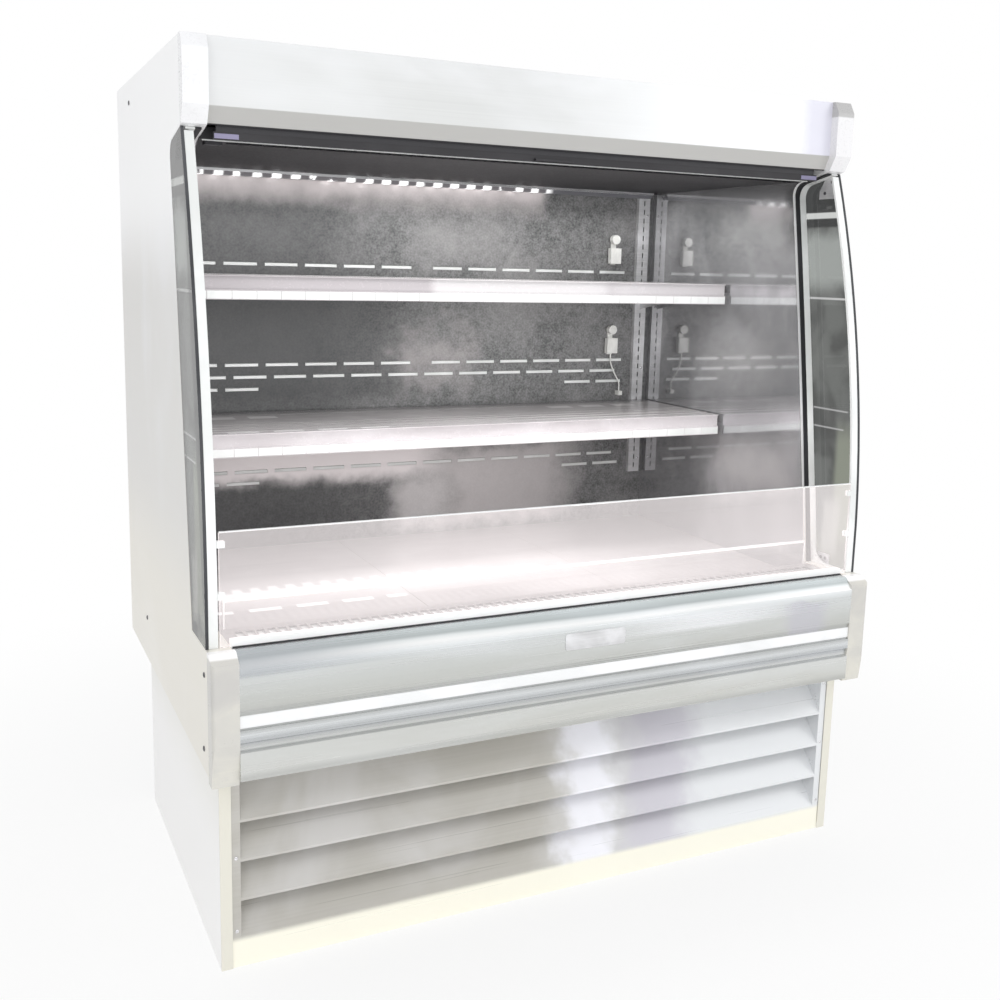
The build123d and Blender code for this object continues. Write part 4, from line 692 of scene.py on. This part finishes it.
dressing = {
    "outerSkin": ("end_panel_left", "end_panel_right", "roof_panel", "back_panel"),
    "baseSkin": ("base_side_left", "base_side_right"),
    "capPaint": ("canopy_caps",),
    "endPaint": ("bumper_ends",),
    "fasciaSkin": ("canopy_fascia",),
    "mirrorLiner": ("side_liners",),
    "wallSteel": ("duct_panel",),
    "zincPlate": ("shelf_standards", "shelf_brackets", "wing_brackets"),
    "shelfPaint": ("shelf_upper", "shelf_lower"),
    "deckSteel": ("deck_pans", "return_grille"),
    "railLilac": ("price_rails",),
    "wingGlassPaintedReflection": ("wing_glasses",),
    "riserGlass": ("front_glass",),
    "stopAcrylic": ("product_stop",),
    "whiteTrim": ("wing_edge_trims", "wing_channels", "glass_clips"),
    "channelWhite": ("glass_channel",),
    "gasketRubberAndShadow": ("wing_gaskets",),
    "darkCeiling": ("ceiling_panel", "discharge_honeycomb"),
    "curtainMetal": ("led_fixture", "stop_channel", "curtain_roller"),
    "darkBar": ("curtain_cassette", "curtain_bar"),
    "lampLens": ("led_lens",),
    "socketWhite": ("lamp_sockets", "socket_lead"),
    "tubPlastic": ("insulated_tub",),
    "bumperSkin": ("bumper_fascia",),
    "whiteStrip": ("bumper_strip",),
    "louvreSteel": ("louvre_panel",),
    "galvanised": ("base_back_panel", "machine_tray", "condenser_shroud", "electrical_box",
                   "evaporator_fan_plate"),
    "framePaint": ("base_rails",),
    "compressorBlack": ("compressor",),
    "coilFins": ("condenser_coil", "evaporator_coil"),
    "fanBlade": ("condenser_fan", "evaporator_fan_left", "evaporator_fan_right"),
    "motorCase": ("condenser_fan_motor", "evaporator_fan_motors"),
    "copperPipe": ("refrigerant_lines",),
    "drainPlastic": ("drain_pan",),
    "switchPlastic": ("switch_bezel", "switch_rocker"),
    "curtainCloth": ("curtain",),
}
for finish, names in dressing.items():
    for name in names:
        for part in nodes[name].material_slots:
            part.material = finishes[finish]
print("solids dressed:", sum(len(names) for names in dressing.values()))


# small helpers for pieces
def finishPiece(mesh, title, finish, body="cabinet", smooth=False, bevel=0.0):
    data = bpy.data.meshes.new(title)
    bmesh.ops.remove_doubles(mesh, verts=mesh.verts, dist=1e-6)
    bmesh.ops.recalc_face_normals(mesh, faces=mesh.faces)
    mesh.to_mesh(data)
    mesh.free()
    for face in data.polygons:
        face.use_smooth = smooth
    data.materials.append(finishes[finish])
    piece = bpy.data.objects.new(title, data)
    scene.collection.objects.link(piece)
    if bevel:
        rounding = piece.modifiers.new("rounding", "BEVEL")
        rounding.width = bevel
        rounding.segments = 2
        rounding.limit_method = "ANGLE"
        rounding.harden_normals = True
    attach(piece, body)


# joins two rows of points with faces, round a closed ring or along an open row
def addFaces(mesh, low, high, closed=True):
    for index in range(len(low) if closed else len(low) - 1):
        after = (index + 1) % len(low)
        mesh.faces.new((low[index], low[after], high[after], high[index]))


# a pan head with a cross recess, its dome pushed in where the driver goes
screwHead = {
    "rings": (0.12, 0.24, 0.36, 0.48, 0.62, 0.78, 0.9, 0.97, 1.0), "steps": 32, "flat": 0.75,
    "crossWide": 0.1, "crossReach": 0.6, "crossDeep": 0.55, "rim": 0.5,
}


def addScrew(mesh, centre, out, radius, rise):
    out = Vector(out)
    across = out.cross(Vector((0, 0, 1))).normalized()
    up = out.cross(across).normalized()

    def point(share, step, height):
        angle = 2 * math.pi * step / screwHead["steps"]
        x, y = share * math.cos(angle), share * math.sin(angle)
        if height is None:
            height = rise * math.sqrt(1 - screwHead["flat"] * share ** 2)
            if share == 1.0:
                height -= rise * screwHead["rim"]
            if min(abs(x), abs(y)) < screwHead["crossWide"] and share < screwHead["crossReach"]:
                height -= rise * screwHead["crossDeep"] * (1 - share)
        return mesh.verts.new(Vector(centre) + radius * (x * across + y * up) + height * out)

    rows = [[point(share, step, None) for step in range(screwHead["steps"])] for share in screwHead["rings"]]
    rows.append([point(1.0, step, 0.0) for step in range(screwHead["steps"])])
    for low, high in zip(rows, rows[1:]):
        addFaces(mesh, low, high)
    middle = point(0.0, 0, None)
    for first, second in zip(rows[0], rows[0][1:] + rows[0][:1]):
        mesh.faces.new((middle, first, second))


def screwSet(title, finish, look, spots):
    mesh = bmesh.new()
    for centre, out in spots:
        addScrew(mesh, centre, out, look["radius"], look["rise"])
    finishPiece(mesh, title, finish, smooth=True)


# a place on the right, with the way it faces, and the same place on the left
def bothSides(spots):
    return [((hand * x, y, z), (hand * out, front, 0)) for hand in (-1, 1) for x, y, z, out, front in spots]


# a closed bar: a profile of points and the way it is drawn along
def addBar(mesh, profile, shift):
    first = [mesh.verts.new(Vector(point)) for point in profile]
    second = [mesh.verts.new(Vector(point) + Vector(shift)) for point in profile]
    mesh.faces.new(first[::-1])
    mesh.faces.new(second)
    addFaces(mesh, first, second)


# a profile of (y, z) points, drawn from one x to another
def addStrip(mesh, left, right, profile):
    addBar(mesh, [(left, y, z) for y, z in profile], (right - left, 0, 0))


def addBlock(mesh, low, high):
    front, back, foot, head = low[1], high[1], low[2], high[2]
    addStrip(mesh, low[0], high[0], ((front, foot), (back, foot), (back, head), (front, head)))


# the places that the pieces below share, in metres, read from the solids
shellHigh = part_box("end_panel_right")[1]
fasciaLow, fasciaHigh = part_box("bumper_fascia")
railLow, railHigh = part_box("price_rails")
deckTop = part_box("deck_pans")[1].z


# screws that hold the side skins, in the places that the photograph shows
sideScrews = {
    "radius": 0.0052, "rise": 0.0024,
    "spots": ((0.300, 1.685), (0.231, 0.512), (-0.431, 0.598), (-0.418, 0.451)),
}
spots = bothSides([(shellHigh.x, y, z, 1, 0) for y, z in sideScrews["spots"]])
screwSet("side_skin_screws", "darkScrew", sideScrews, spots)

# screws of the wings' foot brackets and top hangers; the foot's are given above the bumper's top
wingScrews = {
    "radius": 0.004, "rise": 0.002, "sheet": 0.002,
    "foot": ((-0.3335, 0.013), (-0.349, 0.013)), "hanger": ((-0.2846, 1.5600), (-0.262, 1.5340)),
}
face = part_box("wing_brackets")[1].x - wingScrews["sheet"]
places = [(y, fasciaHigh.z + rise) for y, rise in wingScrews["foot"]] + list(wingScrews["hanger"])
spots = bothSides([(face, y, z, -1, 0) for y, z in places])
screwSet("wing_bracket_screws", "darkScrew", wingScrews, spots)

# screws down the louvre panel's cheeks, up the standards and round the back
cheekScrews = {"radius": 0.0038, "rise": 0.0018, "inset": 0.0085, "heights": (0.075, 0.225, 0.375)}
standardScrews = {"radius": 0.0036, "rise": 0.0018, "inset": 0.0072, "heights": (0.79, 1.06, 1.24, 1.50)}
for title, panel, look in (
    ("louvre_screws", "louvre_panel", cheekScrews), ("standard_screws", "shelf_standards", standardScrews),
):
    low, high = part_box(panel)
    spots = bothSides([(high.x - look["inset"], low.y, z, 0, -1) for z in look["heights"]])
    screwSet(title, "brightScrew", look, spots)
backScrews = {
    "radius": 0.0048, "rise": 0.0022, "half": 0.69, "columns": 6, "rows": (0.46, 0.78, 1.10, 1.42, 1.68),
}
spots = []
for row in backScrews["rows"]:
    for column in range(backScrews["columns"]):
        share = column / (backScrews["columns"] - 1)
        if row in (backScrews["rows"][0], backScrews["rows"][-1]) or share in (0, 1):
            spots.append(((backScrews["half"] * (2 * share - 1), shellHigh.y, row), (0, 1, 0)))
screwSet("back_panel_screws", "brightScrew", backScrews, spots)
print("screws set")

# bright tongues bent back behind the air slots of the wall: each row is its height above the deck,
# the place of its first slot and how many slots it leaves out next to the middle
slotTongues = {
    "half": 0.0419, "tall": 0.0039, "pitch": 0.1036, "count": 6, "lampGap": 0.0155, "setback": 0.0010,
    "thick": 0.0008, "bend": 0.7, "lean": 0.0012, "tip": 0.002,
    "rows": (
        (0.726, 0.073, 0), (0.473, 0.073, 0), (0.442, 0.0518, 0), (0.411, 0.073, 4), (0.198, 0.0518, 0),
        (0.168, 0.073, 4),
    ),
}
mesh = bmesh.new()
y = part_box("led_fixture")[1].y + slotTongues["lampGap"] + slotTongues["setback"]
for rise, first, skipped in slotTongues["rows"]:
    foot, bend, top = (deckTop + rise + share * slotTongues["tall"] for share in (-1, slotTongues["bend"], 1))
    profile = (
        (y, foot), (y - slotTongues["thick"], foot), (y - slotTongues["thick"], bend),
        (y + slotTongues["lean"], top), (y + slotTongues["tip"], top), (y, bend),
    )
    for column in range(skipped, slotTongues["count"]):
        for hand in (-1, 1):
            x = hand * (first + column * slotTongues["pitch"])
            addStrip(mesh, x - slotTongues["half"], x + slotTongues["half"], profile)
finishPiece(mesh, "slot_tongues", "whiteTrim")

# a bright snap-in strip along the foot of each price rail, in lengths with fine gaps between them
railStrip = {
    "foot": 0.0015, "head": 0.019, "proud": 0.0004, "tuck": 0.001, "length": 0.0528, "gap": 0.0006,
    "railHeight": 0.052,
}
mesh = bmesh.new()
count = int((railHigh.x - railLow.x) / railStrip["length"])
step = (railHigh.x - railLow.x) / count
for foot in (railLow.z, railHigh.z - railStrip["railHeight"]):
    for index in range(count):
        left = railLow.x + index * step
        addBlock(
            mesh,
            (left + railStrip["gap"], railLow.y - railStrip["proud"], foot + railStrip["foot"]),
            (left + step - railStrip["gap"], railLow.y + railStrip["tuck"], foot + railStrip["head"]),
        )
finishPiece(mesh, "price_rail_strips", "whiteTrim", bevel=0.0006)
print("wall and rail details built")


# painted highlight: bright white strips on the polished edges of the riser and of the product stop, where
# they catch the light
finishes["polishedEdge"] = coating("polishedEdge", {
    "dark": (236, 238, 238), "pale": (252, 252, 252), "rough": (0.12, 0.2), "coat": 0.4, "patch": (6, 6, 6),
})
paneEdges = {
    "riserInset": 0.001, "riserRise": 0.0016, "proud": 0.0008, "stopLap": 0.003, "stopRise": 0.0018,
    "endWide": 0.004, "footGap": 0.001,
}
mesh = bmesh.new()
low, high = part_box("front_glass")
addBlock(
    mesh,
    (low.x + paneEdges["riserInset"], low.y, high.z),
    (high.x - paneEdges["riserInset"], high.y, high.z + paneEdges["riserRise"]),
)
low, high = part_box("product_stop")
lap, front = high.z - paneEdges["stopLap"], low.y - paneEdges["proud"]
addBlock(mesh, (low.x, front, lap), (high.x, high.y + paneEdges["proud"], high.z + paneEdges["stopRise"]))
for x in (low.x, high.x - paneEdges["endWide"]):
    addBlock(mesh, (x, front, deckTop + paneEdges["footGap"]), (x + paneEdges["endWide"], low.y, lap))
finishPiece(mesh, "polished_edges", "polishedEdge")


def arcThrough(first, middle, last, count):
    (ax, ay), (bx, by), (cx, cy) = first, middle, last
    a, b, c = ax ** 2 + ay ** 2, bx ** 2 + by ** 2, cx ** 2 + cy ** 2
    double = 2 * (ax * (by - cy) + bx * (cy - ay) + cx * (ay - by))
    ux = (a * (by - cy) + b * (cy - ay) + c * (ay - by)) / double
    uy = (a * (cx - bx) + b * (ax - cx) + c * (bx - ax)) / double
    start, end = math.atan2(ay - uy, ax - ux), math.atan2(cy - uy, cx - ux)
    sweep = (end - start + math.pi) % (2 * math.pi) - math.pi
    radius = math.dist((ax, ay), (ux, uy))
    angles = [start + sweep * index / count for index in range(count + 1)]
    return [(ux + radius * math.cos(angle), uy + radius * math.sin(angle)) for angle in angles]


# front edge of each wing: a dark polished line that follows the bow, in (y, z)
wingEdge = {
    "top": (-0.300, 1.576), "middle": (-0.408, 1.130), "knee": (-0.4405, 0.760), "foot": (-0.4405, 0.6483),
    "inner": 0.7554, "outer": 0.761, "proud": 0.0008, "tuck": 0.0002, "steps": 40,
}
curve = arcThrough(wingEdge["top"], wingEdge["middle"], wingEdge["knee"], wingEdge["steps"])
mesh = bmesh.new()
for hand in (-1, 1):
    rows = []
    for y, z in curve + [wingEdge["foot"]]:
        front, back = y - wingEdge["proud"], y + wingEdge["tuck"]
        ring = (("inner", front), ("outer", front), ("outer", back), ("inner", back))
        rows.append([mesh.verts.new((hand * wingEdge[edge], depth, z)) for edge, depth in ring])
    for low, high in zip(rows, rows[1:]):
        addFaces(mesh, low, high)
    mesh.faces.new(rows[0][::-1])
    mesh.faces.new(rows[-1])
finishPiece(mesh, "wing_polished_edges", "motorCase")

# lilac end clips of the pull bar
barClips = {"width": 0.045, "inset": 0.001, "front": -0.291, "back": -0.2896, "height": 0.009, "drop": 0.0028}
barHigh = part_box("curtain_bar")[1]
outer, top = barHigh.x - barClips["inset"], barHigh.z - barClips["drop"]
mesh = bmesh.new()
for left in (-outer, outer - barClips["width"]):
    addBlock(
        mesh,
        (left, barClips["front"], top - barClips["height"]),
        (left + barClips["width"], barClips["back"], top),
    )
finishPiece(mesh, "pull_bar_clips", "barClip", body="curtain_bar", bevel=0.0003)

# the bright lip of the air discharge
dischargeLip = {"inset": 0.004, "from": 0.001, "to": 0.0035, "drop": 0.0022, "lap": 0.0004}
low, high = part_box("discharge_honeycomb")
mesh = bmesh.new()
addBlock(
    mesh,
    (low.x + dischargeLip["inset"], low.y + dischargeLip["from"], low.z - dischargeLip["drop"]),
    (high.x - dischargeLip["inset"], low.y + dischargeLip["to"], low.z + dischargeLip["lap"]),
)
finishPiece(mesh, "discharge_lip", "whiteTrim", bevel=0.0003)

# a sloped baffle under the return grille, which the slots show
baffle = {"gap": 0.0027, "fall": 0.003, "thick": 0.0012, "inset": 0.004, "lap": 0.002}
low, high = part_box("return_grille")
front, back, top = low.y + baffle["lap"], high.y - baffle["lap"], high.z - baffle["gap"]
mesh = bmesh.new()
addStrip(mesh, low.x + baffle["inset"], high.x - baffle["inset"], (
    (front, top), (back, top - baffle["fall"]), (back, top - baffle["fall"] - baffle["thick"]),
    (front, top - baffle["thick"]),
))
finishPiece(mesh, "return_baffle", "polishedEdge")

# painted shadow: a dark strip in the corner between the glass channel and the bumper's ledge, where the
# channel's lip casts its shade
footShadow = {"inset": 0.002, "deep": 0.0045, "topDeep": 0.00315, "tall": 0.0024}
low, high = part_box("glass_channel")
foot, top = fasciaHigh.z, fasciaHigh.z + footShadow["tall"]
mesh = bmesh.new()
addStrip(mesh, low.x + footShadow["inset"], high.x - footShadow["inset"], (
    (low.y, foot), (low.y - footShadow["deep"], foot), (low.y - footShadow["topDeep"], top), (low.y, top),
))
finishPiece(mesh, "riser_foot_shadow", "gasketRubberAndShadow")

# a blank plate with round corners on the bumper
blankPlate = {
    "x": 0.0255, "z": 0.5895, "width": 0.143, "height": 0.035, "thick": 0.0012, "corner": 0.006, "steps": 6,
}
outline = []
for turn, (sx, sz) in enumerate(((1, 1), (-1, 1), (-1, -1), (1, -1))):
    for step in range(blankPlate["steps"] + 1):
        angle = math.pi / 2 * (turn + step / blankPlate["steps"])
        outline.append((
            blankPlate["x"] + sx * (blankPlate["width"] / 2 - blankPlate["corner"])
            + blankPlate["corner"] * math.cos(angle),
            fasciaLow.y,
            blankPlate["z"] + sz * (blankPlate["height"] / 2 - blankPlate["corner"])
            + blankPlate["corner"] * math.sin(angle),
        ))
mesh = bmesh.new()
addBar(mesh, outline, (0, -blankPlate["thick"], 0))
finishPiece(mesh, "blank_plate", "zincPlate", smooth=True, bevel=0.0004)
print("edges and plate built")

# the night curtain: wound turns on the roller, then the drop to the pull bar
curtain = {
    "half": 0.695, "turns": 9, "innerRadius": 0.0142, "outerRadius": 0.0150, "steps": 28, "columns": 16,
    "dropRows": 30, "holdBelow": 0.0152,
}
low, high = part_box("curtain_roller")
axisY, axisZ = (low.y + high.y) / 2, (low.z + high.z) / 2
barTop = barHigh.z
path = []
total = curtain["turns"] * curtain["steps"]
for index in range(total + 1):
    share = index / total
    radius = curtain["innerRadius"] + (curtain["outerRadius"] - curtain["innerRadius"]) * share
    angle = math.pi + 2 * math.pi * curtain["turns"] * (share - 1)
    path.append((axisY + radius * math.cos(angle), axisZ + radius * math.sin(angle)))
curtainY = axisY - curtain["outerRadius"]
for row in range(1, curtain["dropRows"] + 1):
    path.append((curtainY, axisZ - (axisZ - barTop) * row / curtain["dropRows"]))
mesh = bmesh.new()
rows = [
    [
        mesh.verts.new((curtain["half"] * (2 * column / curtain["columns"] - 1), y, z))
        for column in range(curtain["columns"] + 1)
    ]
    for y, z in path
]
for low, high in zip(rows, rows[1:]):
    addFaces(mesh, low, high, closed=False)
data = bpy.data.meshes.new("night_curtain")
mesh.to_mesh(data)
mesh.free()
for face in data.polygons:
    face.use_smooth = True
data.materials.append(finishes["curtainCloth"])
cloth = bpy.data.objects.new("night_curtain", data)
scene.collection.objects.link(cloth)
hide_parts("curtain")
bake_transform(cloth)


# what the camera, the gloss and the panes see directly
def seenDirectly(tree):
    path = node(tree, "LightPath").outputs
    seen = maths(tree, "MAXIMUM", path["Is Camera Ray"], path["Is Glossy Ray"])
    return maths(tree, "MAXIMUM", seen, path["Is Transmission Ray"])


# pale floor that keeps the shadow near the fridge and is white further off
paleFloor = {
    "half": 40, "colour": (244, 244, 243), "rough": 0.7, "near": 0.8, "far": 2.2, "nearWhite": 0.8,
    "farWhite": 1.0,
}


def addFloor():
    data = bpy.data.meshes.new("pale_floor")
    mesh = bmesh.new()
    bmesh.ops.create_grid(mesh, x_segments=2, y_segments=2, size=paleFloor["half"])
    mesh.to_mesh(data)
    mesh.free()
    material, tree, shader, output, where = startMaterial("paleFloor")
    feed(tree, shader, {"Base Color": tone(*paleFloor["colour"]), "Roughness": paleFloor["rough"]})
    white = node(tree, "Emission", {"Color": (1, 1, 1, 1), "Strength": 1.0})
    away = node(tree, "VectorMath", {0: where}, operation="LENGTH").outputs["Value"]
    share = ease(
        tree, away, paleFloor["near"], paleFloor["far"], paleFloor["nearWhite"], paleFloor["farWhite"]
    )
    share = maths(tree, "MULTIPLY", share, seenDirectly(tree))
    both = node(tree, "MixShader", {0: share, 1: shader.outputs[0], 2: white.outputs[0]})
    feed(tree, output, {0: both.outputs[0]})
    data.materials.append(material)
    floor = bpy.data.objects.new("pale_floor", data)
    scene.collection.objects.link(floor)


# a white surround, which lights a little less than it shows
def addWorld(colour, level):
    world = bpy.data.worlds.new("paleSurround")
    scene.world = world
    world.use_nodes = True
    tree = world.node_tree
    tree.nodes.clear()
    shown = node(tree, "Background", {"Color": (1, 1, 1, 1), "Strength": 1.0})
    light = node(tree, "Background", {"Color": colour, "Strength": level})
    both = node(tree, "MixShader", {0: seenDirectly(tree), 1: light.outputs[0], 2: shown.outputs[0]})
    node(tree, "OutputWorld", {0: both.outputs[0]})


# the three studio lamps show in gloss; the glows under the canopy and the low lamp only light
studioLamps = {
    "keyLamp": {"place": (-2.8, -3.2, 3.4), "aim": (0, 0, 0.8), "size": (2.6, 2.6), "power": 26},
    "fillLamp": {"place": (3.0, -2.8, 2.4), "aim": (0, 0, 0.8), "size": (2.4, 2.4), "power": 14},
    "frontLamp": {"place": (0.2, -4.2, 1.3), "aim": (0, 0.4, 1.0), "size": (2.8, 2.8), "power": 26},
    "stripGlow": {"place": (0, 0.3, 1.54), "aim": (0, 0.05, 0.6), "size": (1.32, 0.1), "power": 2.0},
    "canopyGlow": {"place": (0, -0.05, 1.55), "aim": (0, 0.02, 0.6), "size": (1.3, 0.3), "power": 4.5},
    "railGlow": {"place": (0, -0.03, 1.22), "aim": (0, 0.08, 0.96), "size": (1.36, 0.1), "power": 1.6},
    "deckGlow": {"place": (0, -0.04, 0.9), "aim": (0, -0.1, 0.6), "size": (1.36, 0.3), "power": 1.5},
    "shelfGlow": {"place": (0, -0.36, 1.0), "aim": (0, 0.2, 0.93), "size": (1.36, 0.06), "power": 1.3},
    "lowLamp": {"place": (-0.7, -2.8, 0.5), "aim": (0, -0.4, 0.15), "size": (2.6, 0.5), "power": 7.0},
}
lampsInGloss = ("keyLamp", "fillLamp", "frontLamp")


def addLamps():
    for title, lamp in studioLamps.items():
        data = bpy.data.lights.new(title, "AREA")
        data.shape = "RECTANGLE"
        data.size, data.size_y = lamp["size"]
        data.energy = lamp["power"]
        made = bpy.data.objects.new(title, data)
        made.location = lamp["place"]
        towards = Vector(lamp["aim"]) - Vector(lamp["place"])
        made.rotation_mode = "QUATERNION"
        made.rotation_quaternion = towards.to_track_quat("-Z", "Y")
        made.visible_camera = False
        made.visible_glossy = title in lampsInGloss
        made.visible_transmission = False
        scene.collection.objects.link(made)


addFloor()
addWorld(colour=(0.97, 0.98, 1, 1), level=0.8)
addLamps()
print("stage lit")
